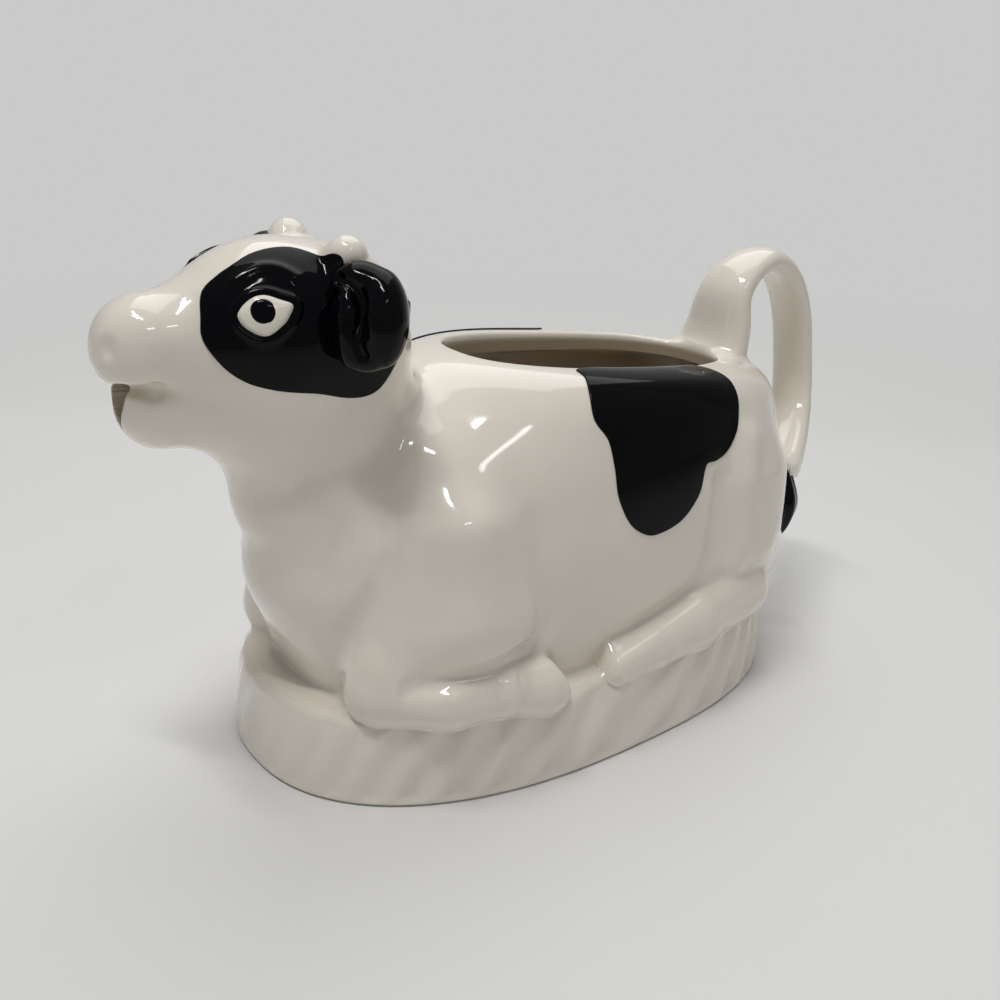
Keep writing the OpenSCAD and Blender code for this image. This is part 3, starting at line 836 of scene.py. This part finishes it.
def makePlinth():
    # rings from the middle of the bottom, up the fluted wall, over the ledge and down into the bowl
    k, g = plinthLook, plinthGrid
    turn = np.arange(g["columns"]) / g["columns"] * 2 * math.pi
    rings = []
    for share in np.linspace(*g["bottom"])[:-1]:
        rings.append(plinthRing(turn, g["bottomInset"], 0.0) * np.array([share, share, 1]))
    smoothDraw = throughRows(np.stack([k["levels"], k["drawIn"]], -1), g["curve"])
    for height in g["heights"]:
        draw = np.interp(height, smoothDraw[:, 0], smoothDraw[:, 1])
        rings.append(plinthRing(turn, draw + plinthFlute(turn, height), height))
    shoulder, field = rings[-1], pieceField("plinth")
    inner = trunkRing(turn, np.full(g["columns"], g["ledgeLevel"]), g["ledgeInset"])
    for share in np.linspace(*g["ledge"])[1:]:
        base = shoulder + (inner - shoulder) * share
        base[:, 2] = g["wallFrom"]
        rings.append(carried(field, base, np.broadcast_to([0.0, 0.0, 1.0], base.shape), g["reach"]))
    rings.append(bowlRing(turn, g["lipInset"], g["lipHeight"]))
    rings += [bowlRing(turn, trunkLook["wall"] + inset, height) for height, inset in g["bowl"]]
    level, inset = g["bowl"][-1]
    for share in g["floor"]:
        ring = bowlRing(turn, trunkLook["wall"] + inset, level) * np.array([share, share, 1])
        rings.append(ring)
    grid = np.stack(rings)
    low = {"point": np.array([0, 0, 0.0]), "normal": np.array([0, 0, -1.0])}
    high = {"point": np.array(g["floorMiddle"]), "normal": np.array([0, 0, 1.0])}
    points, faces, normals = closedGrid(grid, np.zeros_like(grid), low, high)
    shades = np.zeros(len(points))
    addMesh("plinth", points, outward(points, faces), None, creamGlaze, ["plinth"], shades)


# Trunk: outer wall, lip, inner wall

def mouthRing(turn, level, out):
    # a point of the open back's oval at a turn, pushed out, at a level that slopes with the rim
    k = mouthLook
    middle, half, width, square, fall = trunkRow(level)
    x, y = oval(turn, k["halfLength"] + out, k["halfWidth"] + out, k["square"])
    x = k["middle"] + x
    return np.stack([x, y, level - fall * (x - middle)], -1)


# levels of the outer wall, rows of the section's fans and flats, and where the painted brown inside shade
# starts
trunkGrid = {
    "columns": 470, "outside": [(16.0, 56.0, 58), (56.6, rimLevel - mouthLook["lip"] / 2, 26)],
    "corner": 16, "plate": 14, "edge": 10, "under": 8, "inside": 66, "insideEnd": 18.4, "turnOver": 4.0,
    "reach": 16.0, "sunkHeight": 16.8, "sunkInset": 0.15,
    "shade": 2.0, "shadeFrom": (0.8, 2.2), "shadeWall": 0.6, "shadeMouth": 0.6,
}


def makeTrunk():
    # once round the wall's section at every turn: outside, top, lip, underside, inside
    g, columns, wall, lip = trunkGrid, trunkGrid["columns"], trunkLook["wall"], mouthLook["lip"]
    turn = np.arange(columns) / columns * 2 * math.pi
    up = np.broadcast_to([0.0, 0.0, 1.0], (columns, 3))
    plate = np.full(columns, rimLevel - lip / 2)
    origins, directions = [], []

    def outOf(level):
        row = np.full(columns, level)
        ring = trunkRing(turn, row, wall / 2)
        return ring, unit((ring - trunkRing(turn, row, wall / 2 + 1)) * np.array([1, 1, 0]))

    def fan(origin, start, end, steps):
        for lean in np.linspace(0, math.pi / 2, steps + 2)[1:-1]:
            origins.append(origin)
            directions.append(start * math.cos(lean) + end * math.sin(lean))

    for level in np.concatenate([np.linspace(*span) for span in g["outside"]]):
        ring, out = outOf(level)
        origins.append(ring)
        directions.append(out)
    corner, edge = trunkRing(turn, plate, wall / 2), mouthRing(turn, plate, lip / 2)
    fan(corner, out, up, g["corner"])
    for share in np.linspace(0, 1, g["plate"]):
        origins.append(corner + (edge - corner) * share)
        directions.append(up)
    inward = unit((mouthRing(turn, plate, 0.0) - mouthRing(turn, plate, 1.0)) * np.array([1, 1, 0]))
    fan(edge, up, inward, g["edge"])
    fan(edge, inward, -up, g["edge"])
    for share in np.linspace(1, 0, g["under"]):
        origins.append(corner + (edge - corner) * share)
        directions.append(unit(-up - out * (1 - share)))
    for level in np.linspace(rimLevel - lip / 2, g["insideEnd"], g["inside"]):
        ring, out = outOf(level)
        origins.append(ring)
        directions.append(unit(-out - up * (1 - smooth(0, g["turnOver"], rimLevel - lip / 2 - level))))
    grid = carried(pieceField("trunk"), np.stack(origins), np.stack(directions), g["reach"])
    slope = slopeOf(skin, grid)
    sunk = bowlRing(turn, wall - g["sunkInset"], g["sunkHeight"])
    grid, slope = np.concatenate([grid, sunk[None]]), np.concatenate([slope, slope[-1:]])
    sides, level = trunkSides(grid)
    # painted shade: the inner wall and the lip's inner face, from a little under the rim, are marked for the
    # painted brown inside shade
    within = (sides < -wall * g["shadeWall"]) | (mouthSides(grid) < g["shadeMouth"])
    inside = within * smooth(*g["shadeFrom"], rimLevel - level)
    shades = (hollowness(skin, grid, slope) * (1 - inside) + g["shade"] * inside).ravel()
    rows = grid.shape[0]
    j = np.arange(columns)
    k = (j + 1) % columns
    seam = np.stack([(rows - 1) * columns + j, (rows - 1) * columns + k, k, j], -1)
    points = grid.reshape(-1, 3)
    faces = outward(points, [gridFaces(rows, columns), seam])
    print("made trunk with", len(points), "points")
    addMesh("trunk", points, faces, slope.reshape(-1, 3), creamGlaze, ["body_casting"], shades)


print("plinth and trunk")
makePlinth()
makeTrunk()

print("head and neck")
neckLook = {"path": [[-44.5, 0, 82], [-43.0, 0, 66], [-40.5, 0, 48], [-38.6, 0, 26]],
            "rows": 110, "columns": 240, "reach": 34.0, "rounds": 12}
limbPiece("neck", "neck", neckLook["path"], neckLook["rows"], neckLook["columns"], neckLook["reach"],
          ["head_casting"], neckLook["rounds"], mirrored=False)
headGrid = {"rows": 290, "columns": 340, "reach": 40.0}
hornGrid = {"middle": [-45.4, -9.4, 94.0], "rows": 90, "columns": 110, "reach": 14.0}
ballPiece("head", "head", faceLook["spout"]["apex"], *headGrid.values(), ["head_casting"], axis=(1, 0, 0))
ballPiece("hornLeft", "horn", *hornGrid.values(), ["horn_left"], mirrored=True)

print("legs")
forelegPath = [[-31.0, -18.4, 52.0], [-32.5, -18.4, 31.0]]
# piece, member, path, rows, columns, reach, node, rows round each end
legPieces = [
    ("forelegLeft", "shoulder", forelegPath, 90, 220, 34.0, "foreleg_left", 40),
    ("foreShankLeft", "foreShank", legLook["foreShank"], 90, 90, 14.0, "foreleg_left", 10),
    ("foreHoofLeft", "foreHoof", legLook["foreHoof"], 50, 90, 12.0, "fore_hoof_left", 16),
    ("hindLegLeft", "haunch", legLook["haunch"], 100, 180, 30.0, "hind_leg_left", 24),
    ("hindShankLeft", "hindShank", legLook["hindShank"], 90, 90, 16.0, "hind_leg_left", 10),
    ("hindHoofLeft", "hindHoof", legLook["hindHoof"], 50, 80, 12.0, "hind_hoof_left", 14),
]
for name, member, path, rows, columns, reach, node, rounds in legPieces:
    limbPiece(name, member, path, rows, columns, reach, [node], rounds)


# Tail strap

def makeTail():
    # lines that leave the tail's middle across and out of the strap, in the shares of its section
    k, columns = tailLook, tailLook["columns"]
    line = throughRows(k["rows"], k["rings"])
    along, side, flat = tailFrame(line)
    u = np.arange(columns) / columns * 2 * math.pi
    d = np.cos(u)[None, :, None] * side[:, None] * (line[:, 3] / 2)[:, None, None]
    d = d + np.sin(u)[None, :, None] * flat[:, None] * (line[:, 4] / 2)[:, None, None]
    directions = unit(d)
    origins = np.repeat(line[:, None, :3], columns, 1)
    field = pieceField("tail")
    low = {"point": line[0, :3] - along[0] * k["ends"], "normal": -along[0]}
    high = {"point": line[-1, :3] + along[-1] * k["ends"], "normal": along[-1]}
    pressedPiece("tailHandle", field, origins, directions, k["reach"], ["tail_handle"], low, high)


print("tail")
makeTail()


# Black coats: grids of directions from a middle, laid on the skin and lifted by a height

coatLook = {
    "height": 0.32, "sunk": 0.45, "roll": 0.28, "farEdge": 7.8,
    "faceFocus": [-52.0, -2.0, 82.0], "faceMiddle": [-58.0, -15.0, 86.5], "faceGrid": (110, 400),
    "face": [[-70.6, -8.4, 89.8], [-69.0, -6.1, 93.0], [-66.6, -5.7, 94.8], [-63.6, -5.7, 96.3],
             [-60.0, -5.4, 97.6], [-54.8, -5.8, 98.0], [-51.6, -7.2, 97.0], [-49.4, -10.4, 95.4],
             [-47.2, -13.4, 93.6], [-43.6, -14.8, 91.8], [-39.6, -13.4, 89.4], [-37.6, -12.4, 85.8],
             [-38.0, -13.5, 81.4], [-40.2, -14.6, 78.0], [-42.7, -14.8, 75.7], [-45.6, -14.8, 74.8],
             [-49.5, -14.7, 75.2], [-55.0, -14.8, 76.9], [-61.8, -13.7, 78.4], [-65.3, -12.5, 79.7],
             [-68.2, -11.5, 81.8], [-70.4, -10.3, 85.0], [-71.0, -9.4, 87.2]],
    "leftFocus": [14.0, 0.0, 46.0], "leftMiddle": [12.0, -30.0, 59.0], "leftGrid": (70, 420),
    "left": [[-0.4, -17.2, 73.2], [-1.6, -20.8, 72.8], [-3.6, -24.6, 70.8], [-4.4, -27.3, 66.9],
             [-2.4, -29.2, 63.2], [-1.9, -30.9, 58.1], [-1.7, -32.2, 53.0], [0.6, -33.2, 47.8],
             [4.2, -33.6, 44.8], [8.0, -33.7, 43.9], [14.3, -33.5, 45.2], [19.3, -32.7, 49.1],
             [21.3, -31.8, 53.4], [22.4, -31.3, 54.6], [25.2, -31.1, 54.6], [28.7, -30.6, 55.7],
             [31.7, -29.7, 58.4], [33.8, -28.2, 61.8], [35.6, -25.2, 66.4], [35.2, -21.5, 69.2],
             [31.5, -17.6, 70.6], [26.0, -17.1, 71.0], [18.0, -17.1, 71.6], [8.0, -17.1, 72.4]],
    "rightFocus": [6.0, 0.0, 46.0], "rightMiddle": [2.0, 28.0, 64.0], "rightGrid": (46, 300),
    "right": [[-15.0, 17.6, 73.6], [-19.0, 20.0, 70.0], [-16.5, 25.5, 62.0], [-8.0, 30.5, 57.5],
              [1.5, 31.8, 56.5], [10.0, 31.0, 59.5], [17.5, 28.6, 64.5], [21.5, 25.0, 68.5],
              [21.0, 20.0, 70.9], [14.0, 18.8, 71.5], [2.0, 18.8, 72.4], [-8.0, 18.4, 73.4]],
    # the coat's edge rounds over through these turns; the first ring's share of the way out
    "edgeTurns": (0.35, 0.7, 1.05, 1.4, 1.57), "first": 0.03,
}

eyeLook = {
    "middle": [-62.0, -13.0, 90.4],
    "almond": [[-65.7, -11.4, 89.7], [-65.0, -11.1, 90.9], [-63.1, -11.1, 92.0], [-61.4, -11.6, 92.3],
               [-59.6, -12.6, 91.7], [-58.0, -13.4, 91.0], [-58.8, -13.9, 89.6], [-60.2, -14.1, 88.4],
               [-62.6, -13.8, 87.2], [-64.8, -12.5, 88.2]],
    "white": 0.55, "dome": 0.6, "whiteSunk": 0.3, "whiteGrid": (30, 160),
    "pupil": 1.65, "pupilPlace": [-62.3, -12.7, 90.3], "pupilHeight": 0.2, "pupilFoot": 0.9, "pupilSunk": 0.2,
    "pupilGrid": (16, 72),
    "lid": 0.42, "lidAway": 1.1, "lidWidth": 0.6,
    "brow": [[-64.4, -8.0, 94.5], [-61.8, -8.1, 95.7], [-59.6, -8.6, 96.1], [-57.7, -9.6, 95.8],
             [-56.0, -11.0, 94.7]],
    "browHeight": 0.55, "browWidth": 1.1, "fadeOut": (0.9, 1.0),
    "almondPlaces": 40, "browPlaces": 16, "pupilPlaces": 12,
}


landing = {"far": 60.0, "steps": 34, "careful": 0.85, "least": -1.5, "most": 9}


def landed(focus, directions):
    # from outside towards the focus until the skin is met, in steps as long as the distance left
    k = landing
    origins = np.array(focus, float) + directions * k["far"]
    t = np.zeros(directions.shape[:-1])
    for step in range(k["steps"]):
        left = spread(skin, origins - directions * t[..., None])
        t = t + np.clip(left * k["careful"], k["least"], k["most"])
    return origins - directions * t[..., None]


def fanOf(focus, middle, outline, rows, columns):
    # shares of the way from the middle's direction to the outline's, rows by columns
    focus = np.array(focus, float)
    rim = unit(throughRows(np.array(outline), columns, closed=True) - focus)
    centre = unit(np.array(middle, float) - focus)
    share = np.sin(np.linspace(coatLook["first"], 1, rows) * math.pi / 2)[:, None, None]
    return focus, unit(centre + (rim[None] - centre) * share), centre


def faceRelief(p):
    # a ridge all round the eye and a brow over it, each as high as a bell curve of the distance
    left = p * np.where(p[..., 1:2] > 0, mirror, [1, 1, 1])
    k = eyeLook
    almond = throughRows(k["almond"], k["almondPlaces"], closed=True)
    around = nearestOf(left, np.vstack([almond, almond[:1]]))
    brow = nearestOf(left, throughRows(k["brow"], k["browPlaces"]))
    lid = k["lid"] * np.exp(-((around - k["lidAway"]) / k["lidWidth"]) ** 2)
    return lid + k["browHeight"] * np.exp(-(brow / k["browWidth"]) ** 2)


def coatPiece(name, focus, middle, outline, glaze, node, height, sunk, grid, mirrored=False):
    # the top is lifted off the skin by height(point, share) and rounds over to a sunk edge and back
    k, (rows, columns) = coatLook, grid
    material, slotName = glaze
    focus, directions, centre = fanOf(focus, middle, outline, rows, columns)
    grid = landed(focus, directions)
    slope = slopeOf(skin, grid)
    tip = landed(focus, centre[None])
    tipSlope = slopeOf(skin, tip)
    share = np.linspace(k["first"], 1, rows)[:, None] * np.ones(columns)
    top = grid + slope * height(grid, share)[..., None]
    edge = grid[-1]
    away = unit(edge - grid[-3])
    lift, roll = height(grid[-1:], share[-1:])[0], k["roll"]
    rounds = []
    for turn in k["edgeTurns"]:
        rise = (lift - (1 - math.cos(turn)) * roll)[..., None]
        rounds.append(edge + away * roll * math.sin(turn) + slope[-1] * rise)
    below = grid[::-1] - slope[::-1] * sunk
    rings = np.concatenate([top, np.stack(rounds), below])
    low = {"point": tip[0] + tipSlope[0] * height(tip, np.zeros(1))[0], "normal": tipSlope[0]}
    high = {"point": tip[0] - tipSlope[0] * sunk, "normal": -tipSlope[0]}
    points, faces, normals = closedGrid(rings, np.zeros_like(rings), low, high)
    faces = outward(points, faces)
    print("made", name, "with", len(points), "points")
    addMesh(name, points, faces, None, material, [node])
    if mirrored:
        addMesh(name.replace("Left", "Right"), points * mirror, flipped(faces), None, material,
                [node.replace("left", "right")])


def makeCoats():
    k, e = coatLook, eyeLook
    black, white = (blackGlaze, "black_glaze"), (eyeGlaze, "cream_glaze")
    # the far face coat's top edge stays behind the brow, out of the camera's sight
    farFace = [[x, max(-y, k["farEdge"]), z] for x, y, z in k["face"]]

    def faceHeight(p, share):
        return k["height"] + faceRelief(p) * (1 - smooth(*e["fadeOut"], share))

    def whiteHeight(p, share):
        return e["white"] + e["dome"] * (1 - share ** 2)

    def pupilHeight(p, share):
        return e["white"] + e["dome"] * e["pupilFoot"] + e["pupilHeight"] * (1 - share ** 2)

    def plainHeight(p, share):
        return np.full(share.shape, k["height"])

    coatPiece("faceCoatLeft", k["faceFocus"], k["faceMiddle"], k["face"], black, "face_patch_left",
              faceHeight, k["sunk"], k["faceGrid"])
    coatPiece("faceCoatRight", k["faceFocus"] * mirror, k["faceMiddle"] * mirror, farFace, black,
              "face_patch_right", faceHeight, k["sunk"], k["faceGrid"])
    coatPiece("eyeWhiteLeft", k["faceFocus"], e["middle"], e["almond"], white, "eye_white_left",
              whiteHeight, e["whiteSunk"], e["whiteGrid"], mirrored=True)
    coatPiece("pupilLeft", k["faceFocus"], e["pupilPlace"], pupilRing(), black, "pupil_left",
              pupilHeight, e["pupilSunk"], e["pupilGrid"], mirrored=True)
    for side in ("left", "right"):
        coatPiece("flankCoat" + side.title(), k[side + "Focus"], k[side + "Middle"], k[side], black,
                  "flank_patch_" + side, plainHeight, k["sunk"], k[side + "Grid"])


def pupilRing():
    # a circle square to the line from the focus to the pupil
    count = eyeLook["pupilPlaces"]
    focus, place = np.array(coatLook["faceFocus"]), np.array(eyeLook["pupilPlace"])
    out = unit(place - focus)
    across = unit(np.cross(out, [0.0, 0.0, 1.0]))
    other = np.cross(out, across)
    u = np.arange(count) / count * 2 * math.pi
    return place + eyeLook["pupil"] * (np.cos(u)[:, None] * across + np.sin(u)[:, None] * other)


print("coats and eyes")
makeCoats()


# Ears: a bulb and a front lobe with a crease between them, in axes across, up and out of the ear

earLook = {
    "place": [-46.6, -18.4, 89.1],
    "across": [0.795, -0.606, 0.034], "up": [0.206, 0.321, 0.924], "out": [-0.571, -0.728, 0.38],
    "bulb": [[2.4, -0.4, 0.6], [3.9, 7.6, 5.4]], "cap": [[-1.7, 5.0, 0.0], [4.7, 4.0, 4.4]],
    "lobe": [[-3.3, -1.2, 0.6], [2.6, 6.6, 4.4]], "foot": [[-0.9, -5.4, -0.6], [3.7, 3.4, 3.8]],
    "root": [[0.0, 0.0, -3.5], [5.4, 7.4, 4.0]],
    "groove": [[-5.0, 5.6], [-3.2, 4.9], [-1.4, 3.2], [-0.7, 0.6], [-1.5, -2.6], [-1.8, -4.8], [-0.9, -6.8]],
    "grooveWidth": 1.0, "grooveEdge": 1.0, "melts": {"cap": 3.0, "lobe": 0.9, "foot": 2.4, "root": 3.0},
    "reach": 13.0, "frontReach": 9.0, "groovePlaces": 14, "rows": 190, "columns": 240,
}


def earForm(q):
    # the eggs of the ear, melted together in turn
    made = egg(q, *earLook["bulb"])
    for name, width in earLook["melts"].items():
        made = melt(made, egg(q, *earLook[name]), width)
    return made


def grooveLine():
    # the groove's places laid on the ear from in front of it
    line = throughRows(earLook["groove"], earLook["groovePlaces"])
    start = np.concatenate([line, np.zeros((len(line), 1))], 1)
    return carried(earForm, start, np.broadcast_to([0.0, 0.0, 1.0], start.shape), earLook["frontReach"])


earGroove = grooveLine()


def earField(p):
    # the ear's form less its groove, in the ear's own axes
    k = earLook
    q = (p - np.array(k["place"])) @ np.array([k["across"], k["up"], k["out"]]).T
    return carve(earForm(q), nearestOf(q, earGroove) - k["grooveWidth"], k["grooveEdge"])


def makeEars():
    k = earLook
    origins, directions, axis = ballLines(np.array(k["place"]), k["rows"], k["columns"], k["up"])
    grid = carried(earField, origins, directions, k["reach"])
    slope = slopeOf(earField, grid)
    ends = carried(earField, np.array([k["place"]] * 2), np.array([-axis, axis]), k["reach"])
    low, high = {"point": ends[0], "normal": -axis}, {"point": ends[1], "normal": axis}
    points, faces, normals = closedGrid(grid, slope, low, high)
    faces = outward(points, faces)
    addMesh("earLeft", points, faces, normals, blackGlaze, ["ear_left"])
    points, normals = points * mirror, normals * mirror
    addMesh("earRight", points, flipped(faces), normals, blackGlaze, ["ear_right"])


print("ears")
makeEars()


# Tuft: a leaf-shaped lock with shallow furrows along it

tuftLook = {
    # x, y, z, radius
    "rows": [[59.6, -19.8, 43.6, 1.6], [58.8, -21.8, 40.6, 3.2], [57.9, -23.0, 35.6, 4.7],
             [57.3, -23.4, 31.0, 3.6], [57.2, -23.2, 27.0, 1.3]],
    "flat": 0.8, "furrows": 7, "furrowDepth": 0.22, "furrowTwist": 2.2, "endShare": 0.08, "endLeast": 0.02,
    "lines": 120, "columns": 140,
}


def makeTuft():
    # rings whose radius follows the rows, rounds off at both ends and waves with the furrows
    k, columns = tuftLook, tuftLook["columns"]
    line = throughRows(k["rows"], k["lines"])
    along = unit(np.gradient(line[:, :3], axis=0))
    across = unit(np.cross(along, [1.0, 0.0, 0.0]))
    other = np.cross(along, across)
    u = np.arange(columns) / columns * 2 * math.pi
    share = np.linspace(0, 1, len(line))
    rounded = np.sqrt(np.clip(np.minimum(share, 1 - share) / k["endShare"], k["endLeast"], 1))
    furrow = k["furrowDepth"] * np.cos(k["furrows"] * u[None, :] + k["furrowTwist"] * share[:, None])
    radius = (line[:, 3] * rounded)[:, None] + furrow * rounded[:, None]
    ways = np.cos(u)[None, :, None] * across[:, None] * k["flat"] + np.sin(u)[None, :, None] * other[:, None]
    grid = line[:, None, :3] + radius[..., None] * ways
    low, high = {"point": line[0, :3], "normal": -along[0]}, {"point": line[-1, :3], "normal": along[-1]}
    points, faces, normals = closedGrid(grid, np.zeros_like(grid), low, high)
    addMesh("tailTuft", points, outward(points, faces), None, blackGlaze, ["tail_tuft"])


print("tuft")
makeTuft()


# The floor, the lamps and the camera

# The stage and the lamps are in metres, the camera in millimetres and degrees.

stageLook = {
    "floor": (0.76, 0.757, 0.748), "darker": 0.985, "cloudEdges": (0.3, 0.7), "clouds": 5.0,
    "wall": (0.59, 0.59, 0.588), "wallPlace": (0.2, 0.48), "tonePlace": (0.15, 0.19), "tone": 0.97,
    "halfWidth": 4.0, "front": -4.0, "bend": 0.52, "radius": 0.35, "bendSteps": 25, "top": 1.8,
    "shader": {"Roughness": 0.6, "Specular IOR Level": 0.25},
}
worldLook = {"light": (0.60, 0.60, 0.60, 1), "strength": 0.38, "seen": (0.59, 0.59, 0.588, 1)}
cameraLook = {"azimuth": -38.125, "elevation": 22.333, "distance": 235.2, "aim": (-4.56, 0.0, 41.8),
              "roll": 2.102, "fieldOfView": 47.83, "clip": (0.01, 20)}


def sweepProfile():
    # flat, then a quarter circle, then upright: places away from the camera and heights
    k = stageLook
    profile = [(k["front"], 0.0)] + [(k["bend"] * t, 0.0) for t in (0.0, 0.5, 1.0)]
    for turn in np.linspace(0, math.pi / 2, k["bendSteps"])[1:]:
        profile.append((k["bend"] + k["radius"] * math.sin(turn), k["radius"] * (1 - math.cos(turn))))
    return profile + [(k["bend"] + k["radius"], k["top"])]


def makePaper(ahead):
    # pale paper that tones off beyond the object and, to the camera alone, ends in an even wall colour
    k, material = stageLook, bpy.data.materials.new("floorPaper")
    make = nodeMaker(material)
    place = make("ShaderNodeTexCoord").outputs["Object"]
    low, high = tuple(c * k["darker"] for c in k["floor"]), k["floor"]
    base = ramp(make, noise(make, place, k["clouds"]), list(zip(k["cloudEdges"], (low, high))))
    dot = {0: place, 1: (*ahead, 0.0)}
    away = make("ShaderNodeVectorMath", dot, operation="DOT_PRODUCT").outputs["Value"]
    tone = stretched(make, away, k["tonePlace"], 1.0, k["tone"], interpolation_type="SMOOTHSTEP")
    base = make("ShaderNodeVectorMath", {0: base, "Scale": tone}, operation="SCALE").outputs["Vector"]
    shader = make("ShaderNodeBsdfPrincipled", {"Base Color": base, **k["shader"]})
    glow = make("ShaderNodeEmission", {"Color": (*k["wall"], 1)})
    out = make("ShaderNodeVectorMath", {0: place}, operation="LENGTH").outputs["Value"]
    upright = stretched(make, out, k["wallPlace"], interpolation_type="SMOOTHSTEP")
    seen = make("ShaderNodeLightPath").outputs["Is Camera Ray"]
    share = make("ShaderNodeMath", {0: upright, 1: seen}, operation="MULTIPLY").outputs["Value"]
    both = make("ShaderNodeMixShader", {"Fac": share, 1: shader.outputs["BSDF"], 2: glow.outputs["Emission"]})
    make("ShaderNodeOutputMaterial", {"Surface": both.outputs["Shader"]})
    return material


def makeStage():
    # a paper sweep seen from the camera's side
    angle, profile = math.radians(cameraLook["azimuth"]), sweepProfile()
    ahead = np.array([-math.sin(angle), math.cos(angle)])
    side = np.array([math.cos(angle), math.sin(angle)])
    points = []
    for away, height in profile:
        for across in (-stageLook["halfWidth"], stageLook["halfWidth"]):
            x, y = ahead * away + side * across
            points.append((float(x), float(y), float(height)))
    faces = [(2 * i, 2 * i + 1, 2 * i + 3, 2 * i + 2) for i in range(len(profile) - 1)]
    mesh = bpy.data.meshes.new("floor")
    mesh.from_pydata(points, [], faces)
    mesh.polygons.foreach_set("use_smooth", np.ones(len(faces), bool))
    mesh.materials.append(makePaper(ahead))
    floor = bpy.data.objects.new("floor", mesh)
    bpy.context.scene.collection.objects.link(floor)


def makeWorld():
    # a dim even light, and the background's colour to the camera alone
    k, world = worldLook, bpy.data.worlds.new("studio")
    bpy.context.scene.world = world
    make = nodeMaker(world)
    back = make("ShaderNodeBackground", {"Color": k["light"], "Strength": k["strength"]}).outputs[0]
    seen = make("ShaderNodeBackground", {"Color": k["seen"], "Strength": 1.0}).outputs[0]
    ray = make("ShaderNodeLightPath").outputs["Is Camera Ray"]
    mix = make("ShaderNodeMixShader", {"Fac": ray, 1: back, 2: seen}).outputs[0]
    make("ShaderNodeOutputWorld", {"Surface": mix})


lampLook = [
    # name, place, the point it faces, size and power
    ("ceilingStrip1", (-0.22, -0.02, 0.9), (0, 0, 0.04), (0.34, 0.035), 1.8),
    ("ceilingStrip2", (-0.22, -0.13, 0.9), (0, 0, 0.04), (0.34, 0.035), 1.8),
    ("window", (-0.02, -0.62, 0.78), (0, 0, 0.05), (0.24, 0.045), 0.26),
    ("skyPanel", (0.35, 0.35, 0.95), (0, 0, 0.04), (0.9, 0.9), 3.7),
]


def addLamp(name, place, aim, size, power):
    lamp = bpy.data.lights.new(name, "AREA")
    lamp.shape = "RECTANGLE"
    lamp.size, lamp.size_y = size
    lamp.energy = power
    holder = bpy.data.objects.new(name, lamp)
    bpy.context.scene.collection.objects.link(holder)
    holder.location = place
    holder.rotation_euler = (Vector(aim) - Vector(place)).to_track_quat("-Z", "Y").to_euler()


def makeCamera():
    # the axes: back from the aim by azimuth and elevation, then right and up turned by the roll
    k = cameraLook
    a, e, r = (math.radians(k[n]) for n in ("azimuth", "elevation", "roll"))
    back = np.array([math.sin(a) * math.cos(e), -math.cos(a) * math.cos(e), math.sin(e)])
    right = np.array([math.cos(a), math.sin(a), 0.0])
    up = np.cross(back, right)
    x = math.cos(r) * right + math.sin(r) * up
    y = -math.sin(r) * right + math.cos(r) * up
    camera = bpy.data.objects.new("camera", bpy.data.cameras.new("camera"))
    bpy.context.scene.collection.objects.link(camera)
    place = (np.array(k["aim"]) + back * k["distance"]) * 0.001
    camera.matrix_world = Matrix([[x[0], y[0], back[0], place[0]], [x[1], y[1], back[1], place[1]],
                                  [x[2], y[2], back[2], place[2]], [0, 0, 0, 1]])
    camera.data.angle = math.radians(k["fieldOfView"])
    camera.data.clip_start, camera.data.clip_end = k["clip"]
    bpy.context.scene.camera = camera


print("stage")
makeStage()
makeWorld()
for lamp in lampLook:
    addLamp(*lamp)
makeCamera()
bpy.context.scene.view_settings.view_transform = "Standard"
